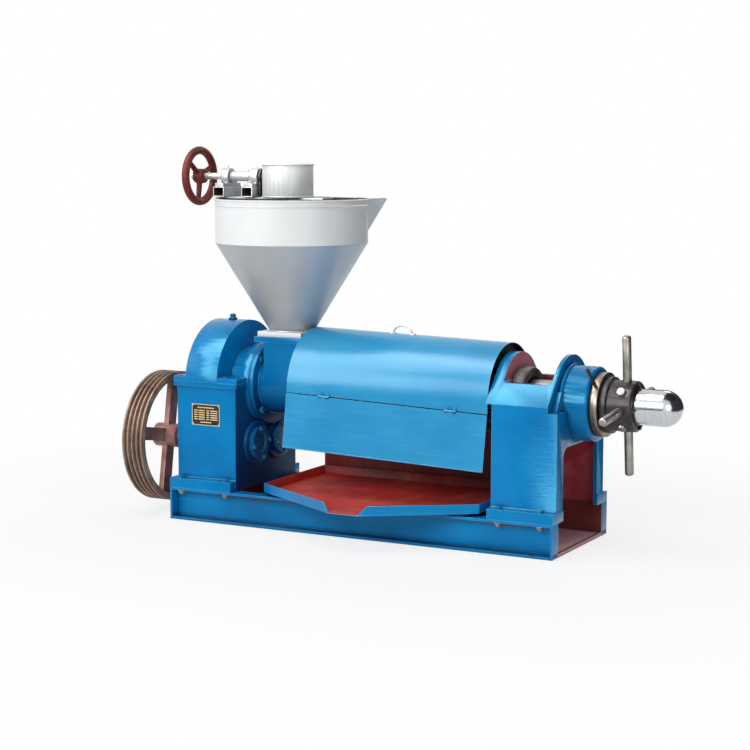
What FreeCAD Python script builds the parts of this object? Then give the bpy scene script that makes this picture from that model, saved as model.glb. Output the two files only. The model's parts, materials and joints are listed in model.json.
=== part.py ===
import FreeCAD, Part
import math
import os
import re
import Sketcher

os.makedirs("parts", exist_ok=True)
Vector = FreeCAD.Vector
Rotation = FreeCAD.Rotation
Placement = FreeCAD.Placement

# The machine stands on the floor plane Z = 0. X runs along the screw from the belt pulley to the
# adjusting hub, the operator stands on the -Y side, and the origin is the centre of the base.
doc = FreeCAD.newDocument("ScrewOilPress")
sheet = doc.addObject("Spreadsheet::Sheet", "Dims")

SIZES = {
    # base frame of two outward facing channels
    "base_length": 1550, "base_width": 510, "channel_depth": 120, "channel_flange": 53,
    "web_thick": 6, "flange_thick": 9, "base_plate": 14, "foot_thick": 37, "foot_bolt_y": 236,
    # shaft lines
    "shaft_line": 508, "input_y": -82, "input_z": 286, "middle_y": 83,
    # reduction gearbox
    "gearbox_left": -761, "gearbox_right": -505, "gearbox_half": 217.5, "wall": 8,
    "split_line": 521, "split_flange": 18, "split_lip": 10,
    "dome_left": -718, "dome_right": -581, "dome_radius": 230, "dome_wall": 8,
    "bearing_bore": 45, "boss_radius": 83, "cap_radius": 64, "cap_thick": 16,
    "main_bore": 72, "main_boss": 128, "chamber_flange": 155, "chamber_flange_left": -522,
    "chamber_joint": -492,
    # gears
    "fast_module": 5, "fast_pinion_teeth": 24, "fast_gear_teeth": 42,
    "slow_module": 6, "slow_pinion_teeth": 12, "slow_gear_teeth": 67,
    "fast_left": -585, "fast_width": 52, "slow_left": -690, "slow_width": 80,
    # belt pulley
    "pulley_left": -938, "pulley_width": 88, "pulley_radius": 249, "pulley_hub": 45,
    "groove_pitch": 20, "groove_depth": 13, "pulley_shaft": 24,
    # feed body and hopper
    "feed_right": -284, "feed_half": 114, "feed_top": 690, "feed_plate": 20, "press_bore": 62,
    "hopper_x": -388, "hopper_radius": 284, "hopper_rim": 1197, "hopper_shoulder": 1036,
    "hopper_outlet": 84, "hopper_sheet": 3, "hopper_flange": 18, "inlet_half": 60,
    "lip_root": 270, "lip_half": 78, "lip_reach": 367, "lip_turn": 42,
    "drum_x": -404, "drum_radius": 95, "drum_top": 1327, "hand_line": 1279,
    "handwheel_x": -793, "handwheel_radius": 112, "rim_tube": 15, "hand_shaft": 13,
    # pressing cage and screw
    "cage_left": -284, "cage_right": 528, "bar_depth": 15, "bar_width": 14, "bar_count": 24,
    "cage_rib": 128, "screw_radius": 60, "screw_core": 34, "flight_thick": 9,
    # hood
    "hood_left": -286, "hood_right": 504, "hood_left_radius": 217, "hood_right_radius": 197,
    "hood_sheet": 3, "seam_left": 506, "seam_right": 474, "flap_height": 200, "flap_lean": 5.4,
    # oil tray
    "tray_left": -379, "tray_right": 490, "tray_front": -227, "tray_back": 222, "tray_floor": 130,
    "tray_depth": 34, "spout_left": 25, "spout_right": 138, "spout_front": -465, "tray_sheet": 3,
    # discharge stand
    "stand_left": 530, "stand_right": 772, "stand_half": 220, "shoulder": 515, "crown_radius": 167,
    "stand_wall": 14, "crown_left": 507, "crown_right": 737, "window_floor": 582, "window_round": 14,
    "ledge": 495, "arch_half": 160, "collar_radius": 116,
    "housing_radius": 130, "housing_right": 841, "sleeve_radius": 80,
    # adjusting hub
    "lock_left": 844, "lock_right": 870, "lock_radius": 112, "lever_length": 126,
    "hub_left": 875, "hub_right": 983, "hub_flange": 98, "hub_radius": 88,
    "bar_x": 943, "bar_radius": 15.5, "bar_reach": 246, "bar_tilt": 6, "nose_radius": 63, "nose_tip": 1138,
}
for row, (alias, size) in enumerate(SIZES.items(), start=1):
    sheet.set("A%d" % row, alias)
    sheet.set("B%d" % row, str(size))
    sheet.setAlias("B%d" % row, alias)
doc.recompute()

kept = []


def formula(text):
    """Point every dimension name in a formula at its cell of the sheet."""
    return re.sub(r"[a-z]\w*", lambda word: "Dims." + word[0] if word[0] in SIZES else word[0], str(text))


def value(text):
    """Number of a formula, read back from the sheet."""
    numbers = re.sub(r"[a-z]\w*", lambda word: "(%s)" % sheet.get(word[0]), str(text))
    return FreeCAD.Units.Quantity(numbers).Value


def bind(piece, **sizes):
    for name, text in sizes.items():
        piece.setExpression(name, formula(text))
    return piece


ALONG = {
    "x": Rotation(Vector(0, 0, 1), Vector(1, 0, 0)),
    "-x": Rotation(Vector(0, 0, 1), Vector(-1, 0, 0)),
    "y": Rotation(Vector(0, 0, 1), Vector(0, 1, 0)),
    "z": Rotation(),
}


def place(piece, x=0, y=0, z=0, turn=Rotation()):
    piece.Placement = Placement(Vector(), turn)
    for axis, text in zip("xyz", (x, y, z)):
        if text != 0:
            piece.setExpression("Placement.Base." + axis, formula(text))
    return piece


def keep(piece, label):
    piece.Label = label
    kept.append(piece)
    return piece


def box(x_range, y_range, z_range):
    piece = doc.addObject("Part::Box", "Box")
    for name, (low, high) in zip(("Length", "Width", "Height"), (x_range, y_range, z_range)):
        bind(piece, **{name: "(%s) - (%s)" % (high, low)})
    return place(piece, x_range[0], y_range[0], z_range[0])


def rod(axis, x, y, z, length, radius):
    piece = bind(doc.addObject("Part::Cylinder", "Rod"), Radius=radius, Height=length)
    return place(piece, x, y, z, ALONG[axis])


def fuse(*pieces):
    piece = doc.addObject("Part::MultiFuse", "Fuse")
    piece.Shapes = list(pieces)
    return piece


def cut(base, *tools):
    piece = doc.addObject("Part::Cut", "Cut")
    piece.Base = base
    piece.Tool = tools[0] if len(tools) == 1 else fuse(*tools)
    return piece


def common(first, second):
    piece = doc.addObject("Part::Common", "Common")
    piece.Base = first
    piece.Tool = second
    return piece


def group(pieces):
    piece = doc.addObject("Part::Compound", "Group")
    piece.Links = list(pieces)
    return piece


def sketch(body, role, offset=0):
    """Empty sketch on one of the body's own planes, moved along that plane's normal."""
    drawing = body.newObject("Sketcher::SketchObject", "Sketch")
    plane = next(item for item in body.Origin.OriginFeatures if item.Role == role)
    drawing.AttachmentSupport = (plane, "")
    drawing.MapMode = "FlatFace"
    if offset != 0:
        drawing.setExpression("AttachmentOffset.Base.z", formula(offset))
    return drawing


def outline(drawing, points):
    """Closed outline whose every corner is held by the two formulas given for it."""
    corners = [Vector(value(across), value(up), 0) for across, up in points]
    for index, corner in enumerate(corners):
        following = corners[(index + 1) % len(corners)]
        drawing.addGeometry(Part.LineSegment(corner, following))
    for index, (across, up) in enumerate(points):
        following = (index + 1) % len(points)
        drawing.addConstraint(Sketcher.Constraint("Coincident", index, 2, following, 1))
        corner = corners[index]
        for kind, text, size in (("DistanceX", across, corner.x), ("DistanceY", up, corner.y)):
            number = drawing.addConstraint(Sketcher.Constraint(kind, -1, 1, index, 1, size))
            if re.search("[a-z]", str(text)):
                drawing.setExpression("Constraints[%d]" % number, formula(text))
    return drawing


def circle(drawing, radius):
    index = drawing.addGeometry(Part.Circle(Vector(), Vector(0, 0, 1), value(radius)))
    drawing.addConstraint(Sketcher.Constraint("Coincident", index, 3, -1, 1))
    number = drawing.addConstraint(Sketcher.Constraint("Radius", index, value(radius)))
    drawing.setExpression("Constraints[%d]" % number, formula(radius))


def turned(points, y=0, z="shaft_line"):
    """Body turned about a line along X, drawn as (x, radius) corners."""
    body = doc.addObject("PartDesign::Body", "Turned")
    drawing = outline(sketch(body, "XY_Plane"), points)
    revolution = body.newObject("PartDesign::Revolution", "Revolution")
    revolution.Profile = drawing
    revolution.ReferenceAxis = (drawing, ["H_Axis"])
    revolution.Angle = 360
    return place(body, 0, y, z)


def turned_up(points, x, y=0):
    """Body turned about a vertical line, drawn as (radius, height) corners."""
    body = doc.addObject("PartDesign::Body", "TurnedUp")
    drawing = outline(sketch(body, "XZ_Plane"), points)
    revolution = body.newObject("PartDesign::Revolution", "Revolution")
    revolution.Profile = drawing
    revolution.ReferenceAxis = (drawing, ["V_Axis"])
    revolution.Angle = 360
    return place(body, x, y)


def padded(points, role, start, length):
    """Body padded from an outline: YZ_Plane pads along X and XY_Plane along Z."""
    body = doc.addObject("PartDesign::Body", "Padded")
    drawing = outline(sketch(body, role, start), points)
    pad = body.newObject("PartDesign::Pad", "Pad")
    pad.Profile = drawing
    bind(pad, Length=length)
    return body


def ring(left, right, outer, inner, y=0, z="shaft_line"):
    return turned([(left, inner), (right, inner), (right, outer), (left, outer)], y, z)


def bolt(axis, x, y, z, head, shank, nut_at=None):
    """Hexagon bolt whose head stands on the point given: head is its radius, shank its radius and length."""
    prism = doc.addObject("Part::Prism", "Head")
    prism.Polygon = 6
    prism.Circumradius = head
    prism.Height = 0.65 * head
    radius, length = shank
    stem = doc.addObject("Part::Cylinder", "Shank")
    stem.Radius = radius
    stem.Height = length
    stem.Placement.Base.z = -length
    pieces = [prism, stem]
    if nut_at is not None:
        nut = doc.addObject("Part::Prism", "Nut")
        nut.Polygon = 6
        nut.Circumradius = head
        nut.Height = 0.8 * head
        nut.Placement.Base.z = nut_at - 0.8 * head
        pieces.append(nut)
    return place(fuse(*pieces), x, y, z, ALONG[axis])


def around(count, radius, start=0.0):
    """Points spaced evenly on a circle, as (y, z) offsets."""
    for index in range(count):
        angle = math.radians(start + 360.0 * index / count)
        yield radius * math.cos(angle), radius * math.sin(angle)


def gear(teeth, module, left, width, bore, y, z, phase):
    """Spur gear with straight-sided teeth; the first tooth is centred phase degrees from +Y."""
    body = doc.addObject("PartDesign::Body", "Gear")
    root = "%s * (%s / 2 - 1.25)" % (module, teeth)
    tip = "%s * (%s / 2 + 1)" % (module, teeth)
    blank = sketch(body, "YZ_Plane", left)
    circle(blank, root)
    circle(blank, bore)
    disc = body.newObject("PartDesign::Pad", "Blank")
    disc.Profile = blank
    bind(disc, Length=width)
    foot, crest = "%s * 0.98" % module, "%s * 0.30" % module
    corners = [("%s - 1" % root, "-" + foot), (tip, "-" + crest), (tip, crest), ("%s - 1" % root, foot)]
    tooth = body.newObject("PartDesign::Pad", "Tooth")
    tooth.Profile = outline(sketch(body, "YZ_Plane", left), corners)
    bind(tooth, Length=width)
    pattern = body.newObject("PartDesign::PolarPattern", "Teeth")
    pattern.Originals = [tooth]
    pattern.Axis = (blank, ["N_Axis"])
    pattern.Angle = 360
    bind(pattern, Occurrences=teeth)
    body.Tip = pattern
    return place(body, 0, y, z, Rotation(Vector(1, 0, 0), phase))


def flight(left, right, pitch, outer, root, thick):
    """Helical flight about the X axis through the origin."""
    helix = Part.makeHelix(pitch, right - left, root)
    section = Part.makePolygon([
        Vector(root, 0, -thick / 2),
        Vector(outer, 0, -thick / 3),
        Vector(outer, 0, thick / 3),
        Vector(root, 0, thick / 2),
        Vector(root, 0, -thick / 2),
    ])
    solid = Part.Wire(helix).makePipeShell([section], True, True)
    solid.Placement = Placement(Vector(left, 0, 0), ALONG["x"])
    return solid


def base_frame():
    half_length, half_width = "base_length / 2", "base_width / 2"
    web = "base_width / 2 - channel_flange"
    corners = [
        ("base_width / 2", 0), (web, 0), (web, "channel_depth"), (half_width, "channel_depth"),
        (half_width, "channel_depth - flange_thick"), (web + " + web_thick", "channel_depth - flange_thick"),
        (web + " + web_thick", "flange_thick"), (half_width, "flange_thick"),
    ]
    for side, label in ((-1, "base_channel_front"), (1, "base_channel_rear")):
        section = [("%d * (%s)" % (side, across), up) for across, up in corners]
        beam = padded(section, "YZ_Plane", "-base_length / 2", "base_length")
        edges = sorted(["%d * (%s)" % (side, half_width), "%d * (%s)" % (side, web)], key=value)
        heights = ("flange_thick", "channel_depth - flange_thick")
        ends = [
            box(("-" + half_length, "-base_length / 2 + 8"), edges, heights),
            box(("base_length / 2 - 8", half_length), edges, heights),
        ]
        holes = [rod("z", x, side * value("foot_bolt_y"), 100, 40, 8) for x in FOOT_BOLTS]
        holes += [rod("z", x, side * ANCHOR_Y, -5, 20, 9) for x in ANCHORS]
        keep(cut(fuse(beam, *ends), *holes), label)
    inner = ("-(%s)" % web, web)
    keep(box(("-" + half_length, half_length), inner, (0, "base_plate")), "base_bottom_plate")
    members = [box((x, x + 8), inner, ("base_plate", "channel_depth - 12")) for x in (-620, 470)]
    keep(group(members), "base_cross_members")


def gearbox():
    left, right, half = "gearbox_left", "gearbox_right", "gearbox_half"
    sides = ("-" + half, half)
    lip = ("-gearbox_half - split_lip", "gearbox_half + split_lip")
    lip_x = ("gearbox_left - split_lip", "gearbox_right + split_lip")
    inner_x = ("gearbox_left + wall", "gearbox_right - wall")
    inner_y = ("-gearbox_half + wall", "gearbox_half - wall")
    across_box = "gearbox_right - gearbox_left + 40"
    bosses, bores = [], []
    for y in ("input_y", "middle_y"):
        bosses.append(rod("x", left, y, "input_z", 36, "boss_radius - 20"))
        bosses.append(rod("x", "gearbox_right - wall - 12", y, "input_z", "wall + 24", "boss_radius"))
        bores.append(rod("x", "gearbox_left - 5", y, "input_z", across_box, "bearing_bore"))
    neck_length = "chamber_flange_left - dome_right + 1"
    flange_thick = "chamber_joint - chamber_flange_left"
    bore_length = "chamber_joint - gearbox_left + 25"
    main = [
        rod("x", "gearbox_left - split_lip", 0, "shaft_line", 50, "main_bore + 18"),
        rod("x", "dome_right - 1", 0, "shaft_line", neck_length, "main_bore + 28"),
        rod("x", "chamber_flange_left", 0, "shaft_line", flange_thick, "chamber_flange"),
    ]
    main_bore = rod("x", "gearbox_left - 20", 0, "shaft_line", bore_length, "main_bore")
    below = box((-900, -400), (-400, 400), (0, "split_line"))
    above = box((-900, -400), (-400, 400), ("split_line", 900))
    shell = cut(box((left, right), sides, ("channel_depth", "split_line")),
                box(inner_x, inner_y, ("channel_depth + wall", "split_line + 1")))
    foot = box(("-base_length / 2", "gearbox_right - 5"), ("-base_width / 2", "base_width / 2"),
               ("channel_depth", "channel_depth + foot_thick"))
    hollow = box(inner_x, inner_y, ("channel_depth + wall", "split_line"))
    lower_lip = cut(box(lip_x, lip, ("split_line - split_flange", "split_line")), hollow)
    inner_main = common(fuse(*main), below)
    holes = [rod("z", x, y, "channel_depth - 5", 60, 8) for x in FOOT_BOLTS[:2] for y in FOOT_SIDES]
    lip_holes = [rod("z", x, y, 490, 60, 4) for x, y in SPLIT_BOLTS]
    lower = fuse(shell, cut(foot, hollow), lower_lip, inner_main, *bosses)
    keep(cut(lower, main_bore, *bores, *holes, *lip_holes), "gearbox_lower_case")
    plate = box(lip_x, lip, ("split_line", "split_line + split_flange"))
    dome = rod("x", "dome_left", 0, "shaft_line", "dome_right - dome_left", "dome_radius")
    room = rod("x", "dome_left + dome_wall", 0, "shaft_line", "dome_right - dome_left - 2 * dome_wall",
               "dome_radius - dome_wall")
    upper_bore = rod("x", "gearbox_left - 20", 0, "shaft_line", bore_length, "main_bore")
    boss = rod("x", "dome_right - 1", 0, "shaft_line", neck_length, "main_boss")
    crown = common(fuse(dome, boss, *[rod_copy(piece) for piece in main]), above)
    vent = rod("z", -650, 0, 720, 40, 7)
    upper_holes = [rod("z", x, y, 490, 60, 4) for x, y in SPLIT_BOLTS]
    keep(cut(fuse(plate, crown), room, upper_bore, vent, *upper_holes), "gearbox_upper_case")
    bolts = [bolt("z", x, y, "split_line + split_flange", 8, (4, 32)) for x, y in SPLIT_BOLTS]
    keep(group(bolts), "gearbox_split_bolts")
    plug = [(0, 728), (7, 728), (7, 738), (17, 738), (17, 744), (11, 745), (12, 755), (7, 759), (0, 760)]
    keep(turned_up(plug, -650), "breather_plug")
    keep(box((-696, -574), ("-gearbox_half - 1.5", "-gearbox_half"), (358, 438)), "nameplate")


def rod_copy(piece):
    twin = doc.addObject("Part::Cylinder", "Rod")
    for name in ("Radius", "Height"):
        twin.setExpression(name, "%s.%s" % (piece.Name, name))
    twin.Placement = piece.Placement
    for axis in "xyz":
        twin.setExpression("Placement.Base." + axis, "%s.Placement.Base.%s" % (piece.Name, axis))
    return twin


def bearing_caps():
    spigot = "bearing_bore - 0.05"
    outside = "gearbox_left - cap_thick"
    plain = [(outside, 0), (outside, "cap_radius - 4"), ("gearbox_left - cap_thick + 4", "cap_radius"),
             ("gearbox_left", "cap_radius"), ("gearbox_left", spigot), ("gearbox_left + 5", spigot),
             ("gearbox_left + 5", 0)]
    bored = [(x, "pulley_shaft + 2.3" if radius == 0 else radius) for x, radius in plain]
    face = "gearbox_right + 12"
    right_face = face + " + cap_thick"
    closed = [(face + " - 5", 0), (face + " - 5", spigot), (face, spigot), (face, "cap_radius"),
              (right_face + " - 4", "cap_radius"), (right_face, "cap_radius - 5"), (right_face, 36),
              (right_face + " - 6", 32), (right_face + " - 6", 0)]
    caps = [
        (bored, "input_y", "input_cap_left"), (closed, "input_y", "input_cap_right"),
        (plain, "middle_y", "middle_cap_left"), (closed, "middle_y", "middle_cap_right"),
    ]
    bolts = []
    for corners, y, label in caps:
        cap = turned(corners, y, "input_z")
        at_left = label.endswith("left")
        spots = [(value(y) + across, value("input_z") + up) for across, up in around(4, 54, 8)]
        start = value(outside) if at_left else value(right_face)
        holes = [rod("x", start - 20, across, up, 40, 4) for across, up in spots]
        keep(cut(cap, *holes), label)
        for across, up in spots:
            bolts.append(bolt("-x" if at_left else "x", start, across, up, 8.5, (4, 16)))
    seat = "gearbox_left - split_lip"
    main_left = [(seat + " - cap_thick", 0), (seat + " - cap_thick", "main_bore + 10"),
                 (seat, "main_bore + 14"), (seat, 60), (seat + " - 6", 56), (seat + " - 6", 0)]
    keep(turned(main_left), "main_cap_left")
    return bolts


def bearings():
    small = []
    for y in ("input_y", "middle_y"):
        for left in ("gearbox_left + 5", "gearbox_right - 17"):
            small.append(ring(left, left + " + 24", "bearing_bore", 30.05, y, "input_z"))
    keep(group(small), "shaft_bearings")
    large = [
        ring("gearbox_left + 1", "gearbox_left + 35", "main_bore", 35.05),
        ring("chamber_joint - 50", "chamber_joint - 2", "main_bore", 50.05),
    ]
    keep(group(large), "main_bearings")


def drive_train():
    # angle from the main gear's centre to the middle shaft, seen looking along +X
    rise, run = value("input_z - shaft_line"), value("middle_y")
    mesh = math.degrees(math.atan2(rise, run))
    half_pitch = 180.0 / value("slow_pinion_teeth")
    wheel = gear("slow_gear_teeth", "slow_module", "slow_left", "slow_width", 45, 0, "shaft_line", mesh)
    keep(wheel, "main_gear")
    pinion = gear("slow_pinion_teeth", "slow_module", "slow_left - 6", "slow_width + 12", 12,
                  "middle_y", "input_z", mesh + 180 + half_pitch)
    shaft = turned([("gearbox_left + 8", 0), ("gearbox_left + 8", 30), ("gearbox_left + 34", 30),
                    ("gearbox_left + 34", 28), ("fast_left - 12", 28), ("fast_left - 12", 36),
                    ("fast_left + 2", 36), ("fast_left + 2", 34), ("fast_left + fast_width - 2", 34),
                    ("fast_left + fast_width - 2", 30), ("gearbox_right + 6", 30),
                    ("gearbox_right + 6", 0)], "middle_y", "input_z")
    keep(fuse(shaft, pinion), "middle_shaft")
    keep(gear("fast_gear_teeth", "fast_module", "fast_left + 2", "fast_width - 4", 34,
              "middle_y", "input_z", 180), "middle_gear")
    keep(gear("fast_pinion_teeth", "fast_module", "fast_left", "fast_width - 2", 32,
              "input_y", "input_z", 180.0 / value("fast_pinion_teeth")), "input_pinion")
    end_screw = bolt("-x", "pulley_left - 8", "input_y", "input_z", 14, (7, 1))
    shaft = turned([("pulley_left - 8", 0), ("pulley_left - 8", "pulley_shaft - 2"),
                    ("pulley_left - 6", "pulley_shaft"), ("gearbox_left + 6", "pulley_shaft"),
                    ("gearbox_left + 6", 30), ("gearbox_left + 31", 30), ("gearbox_left + 31", 27),
                    ("fast_left - 12", 27), ("fast_left - 12", 34), ("fast_left", 34), ("fast_left", 32),
                    ("fast_left + fast_width - 2", 32), ("fast_left + fast_width - 2", 30),
                    ("gearbox_right + 6", 30), ("gearbox_right + 6", 0)], "input_y", "input_z")
    keep(fuse(shaft, end_screw), "input_shaft")


def drive_pulley():
    right = "pulley_left + pulley_width"
    corners = [("pulley_left", "pulley_radius - 27"), (right, "pulley_radius - 27"), (right, "pulley_radius")]
    middle = "pulley_left + pulley_width / 2"
    for step in (1.5, 0.5, -0.5, -1.5):
        centre = "%s + %s * groove_pitch" % (middle, step)
        corners += [
            (centre + " + 7.5", "pulley_radius"), (centre + " + 4", "pulley_radius - groove_depth"),
            (centre + " - 4", "pulley_radius - groove_depth"), (centre + " - 7.5", "pulley_radius"),
        ]
    corners.append(("pulley_left", "pulley_radius"))
    rim = turned(corners, 0, 0)
    hub = rod("x", "pulley_left - 4", 0, 0, "pulley_width + 14", "pulley_hub")
    spokes = []
    for index in range(4):
        spoke = bind(doc.addObject("Part::Box", "Spoke"), Length=22, Width=50, Height="pulley_radius - 60")
        start = Placement(Vector(value("pulley_left") + 33, -25, 36), Rotation())
        spoke.Placement = Placement(Vector(), Rotation(Vector(1, 0, 0), 90 * index - 9.5)).multiply(start)
        spokes.append(spoke)
    bore = rod("x", "pulley_left - 10", 0, 0, "pulley_width + 30", "pulley_shaft")
    keep(place(cut(fuse(rim, hub, *spokes), bore), 0, "input_y", "input_z"), "drive_pulley")


def feed_body():
    left, right = "chamber_joint + 22", "feed_right"
    corners = list(around(4, value("chamber_flange") - 22, 45))
    box_sides = ("-feed_half", "feed_half")
    plate_sides = ("-feed_half - 4", "feed_half + 4")
    pieces = [
        rod("x", "chamber_joint", 0, "shaft_line", 22, "chamber_flange"),
        rod("x", left, 0, "shaft_line", "feed_right - 16 - chamber_joint - 22", "feed_half"),
        box((left + " + 25", "feed_right - 16"), box_sides, ("shaft_line", "feed_top - feed_plate + 1")),
        box(("chamber_joint + 8", right + " - 6"), plate_sides, ("feed_top - feed_plate", "feed_top")),
        rod("x", "feed_right - 16", 0, "shaft_line", 16, 150),
    ]
    holes = [rod("x", "chamber_joint - 1", y, value("shaft_line") + z, 24, 7) for y, z in corners]
    bore = rod("x", "chamber_joint - 1", 0, "shaft_line", "feed_right - chamber_joint + 2", "press_bore")
    inlet = box(("hopper_x - inlet_half", "hopper_x + inlet_half"), ("-inlet_half", "inlet_half"),
                ("shaft_line", "feed_top + 1"))
    keep(cut(fuse(*pieces), bore, inlet, *holes), "feed_body")
    joint = value("chamber_joint") + 22
    return [bolt("x", joint, y, value("shaft_line") + z, 13, (7, 22)) for y, z in corners]


def hopper():
    floor = "feed_top + hopper_flange"
    sheet_line = "hopper_outlet - hopper_sheet"
    wall = [
        (sheet_line, floor), ("hopper_outlet", floor), ("hopper_radius", "hopper_shoulder"),
        ("hopper_radius", "hopper_rim - 26"), ("hopper_radius + 4", "hopper_rim - 22"),
        ("hopper_radius", "hopper_rim - 18"), ("hopper_radius", "hopper_rim"),
        ("hopper_radius - hopper_sheet", "hopper_rim"),
        ("hopper_radius - hopper_sheet", "hopper_shoulder + 2"),
    ]
    funnel = turned_up(wall, "hopper_x")
    flange = cut(box(("hopper_x - 93", "hopper_x + 93"), (-97, 97), ("feed_top", floor)),
                 rod("z", "hopper_x", 0, "feed_top - 1", "hopper_flange + 2", sheet_line))
    spout = doc.addObject("Part::Feature", "Spout")
    spout.Shape = wedge(0)
    opening = doc.addObject("Part::Feature", "SpoutRoom")
    opening.Shape = wedge(3)
    core = rod("z", "hopper_x", 0, "hopper_shoulder", 400, "hopper_radius - 1")
    keep(cut(fuse(funnel, flange, cut(spout, core)), opening), "hopper")


def wedge(inset):
    """Pouring lip: a three-sided pocket on the hopper's wall that narrows to a point at the rim."""
    axis, top = value("hopper_x"), value("hopper_rim") + 0.4 * inset
    back, across = axis + value("lip_root") - 2 * inset, value("lip_half") + 0.33 * inset
    a, b = Vector(back, -across, top), Vector(back, across, top)
    c = Vector(axis + value("lip_reach") - 1.7 * inset, 0, top)
    d = Vector(back, 0, value("hopper_shoulder") + 4 - 0.5 * inset)
    loops = ((a, b, c, a), (a, c, d, a), (c, b, d, c), (b, a, d, b))
    faces = [Part.Face(Part.makePolygon(loop)) for loop in loops]
    lip = Part.makeSolid(Part.makeShell(faces))
    lip.rotate(Vector(axis, 0, 0), Vector(0, 0, 1), value("lip_turn"))
    return lip


def feeder():
    bar_top = "hopper_rim + 6"
    auger_hole = rod("z", "hopper_x", 0, "hopper_rim - 5", 20, 12.05)
    bar_ends = ("hopper_x - hopper_radius - 26", "hopper_x + hopper_radius - 130")
    keep(cut(box(bar_ends, (-40, 40), ("hopper_rim", bar_top)), auger_hole), "hopper_crossbar")
    tubes = []
    for x in STAND_TUBES:
        outer = box((x - 24, x + 24), (-64, 64), (bar_top, "hand_line - 38"))
        room = box((x - 20, x + 20), (-70, 70), (bar_top + " + 4", "hand_line - 42"))
        tubes.append(cut(outer, room))
    keep(group(tubes), "bearing_stand")
    blocks = []
    for x in PILLOW_BLOCKS:
        base = box((x - 18, x + 18), (-62, 62), ("hand_line - 38", "hand_line - 25"))
        neck = box((x - 14, x + 14), (-26, 26), ("hand_line - 26", "hand_line"))
        barrel = rod("x", x - 17, 0, "hand_line", 34, 30)
        bore = rod("x", x - 30, 0, "hand_line", 60, "hand_shaft + 0.05")
        blocks.append(cut(fuse(base, neck, barrel), bore))
    keep(group(blocks), "pillow_blocks")
    inner, lid = "drum_radius - hopper_sheet", "drum_top - hopper_sheet"
    shell = turned_up([(0, lid), (inner, lid), (inner, bar_top), ("drum_radius", bar_top),
                       ("drum_radius", "drum_top"), (0, "drum_top")], "drum_x")
    keep(cut(shell, rod("x", "drum_x - 120", 0, "hand_line", 100, "hand_shaft + 1")), "feeder_drum")
    keep(rod("x", "handwheel_x - 20", 0, "hand_line", "hopper_x - 30 - handwheel_x + 20", "hand_shaft"),
         "handwheel_shaft")
    apex = value("hopper_x")
    keep(turned([(apex - 46, 13), (apex - 18.5, 13), (apex - 18.5, 17.5), (apex - 31, 30), (apex - 36, 30),
                 (apex - 36, 22), (apex - 46, 22)], 0, "hand_line"), "bevel_pinion")
    line = value("hand_line")
    keep(turned_up([(12, line - 46), (22, line - 46), (22, line - 36), (30, line - 36), (30, line - 31),
                    (17.5, line - 18.5), (12, line - 18.5)], "hopper_x"), "bevel_gear")
    stem = rod("z", "hopper_x", 0, 590, line - 18.5 - 590, 12)
    curl = doc.addObject("Part::Feature", "AugerFlight")
    shape = flight(600, 745, 48, 54, 11, 5)
    shape.Placement = Placement(Vector(apex, 0, 600), Rotation())
    curl.Shape = shape
    paddles = []
    for reach, z in ((90, 840), (150, 960)):
        paddles.append(box((apex - reach, apex + reach), (-5, 5), (z, z + 24)))
    keep(fuse(stem, curl, *paddles), "feed_auger")


def handwheel():
    rim = bind(doc.addObject("Part::Torus", "Rim"), Radius1="handwheel_radius - rim_tube", Radius2="rim_tube")
    rim.Placement = Placement(Vector(value("handwheel_x"), 0, 0), ALONG["x"])
    hub = rod("x", "handwheel_x - 20", 0, 0, 46, 24)
    spokes = []
    for index in range(3):
        spoke = bind(doc.addObject("Part::Cylinder", "Spoke"), Radius=9, Height="handwheel_radius - 34")
        start = Placement(Vector(value("handwheel_x"), 0, 20), Rotation())
        spoke.Placement = Placement(Vector(), Rotation(Vector(1, 0, 0), 180 + 120 * index)).multiply(start)
        spokes.append(spoke)
    bore = rod("x", "handwheel_x - 25", 0, 0, 60, "hand_shaft")
    keep(place(cut(fuse(rim, hub, *spokes), bore), 0, 0, "hand_line"), "handwheel")


def press_screw():
    gap, first, last = 8, -466.0, 498.0
    keep(turned([
        ("gearbox_left + 4", 0), ("gearbox_left + 4", 35), ("gearbox_left + 40", 35),
        ("gearbox_left + 40", 44), ("slow_left", 44), ("slow_left", 45), ("slow_left + slow_width", 45),
        ("slow_left + slow_width", 52),
        ("dome_right + 6", 52), ("dome_right + 6", 50), ("chamber_joint + 24", 50),
        ("chamber_joint + 24", "screw_core"), (574, "screw_core"), (574, 36), (760, 36), (760, 35),
        (800, 35), (800, 30), ("hub_right + 60", 30),
        ("hub_right + 60", 0)]), "screw_shaft")
    keep(worm(first, -206, 84, 40, 44), "feed_worm")
    worms = []
    length = (last + 198) / 4
    for index in range(4):
        left = -198 + index * length
        worms.append(worm(left, left + length - gap, 62 - 6 * index, 44 + 2 * index, 47 + 2 * index))
        worms.append(ring(left - gap, left, 42 + 2 * index, "screw_core"))
    keep(group(worms), "press_worms")
    cone = [(last - gap, "screw_core"), (574, "screw_core"), (574, 52), (560, 57), (520, 57),
            (last - gap, 50)]
    keep(turned(cone), "discharge_cone")


def worm(left, right, pitch, root_left, root_right):
    core = turned([(left, "screw_core"), (right, "screw_core"), (right, root_right), (left, root_left)], 0, 0)
    curl = doc.addObject("Part::Feature", "Flight")
    thick, outer, root = value("flight_thick"), value("screw_radius"), value("screw_core") + 3
    curl.Shape = flight(left + thick, right - thick, pitch, outer, root, thick)
    return place(fuse(core, curl), 0, 0, "shaft_line")


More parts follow.
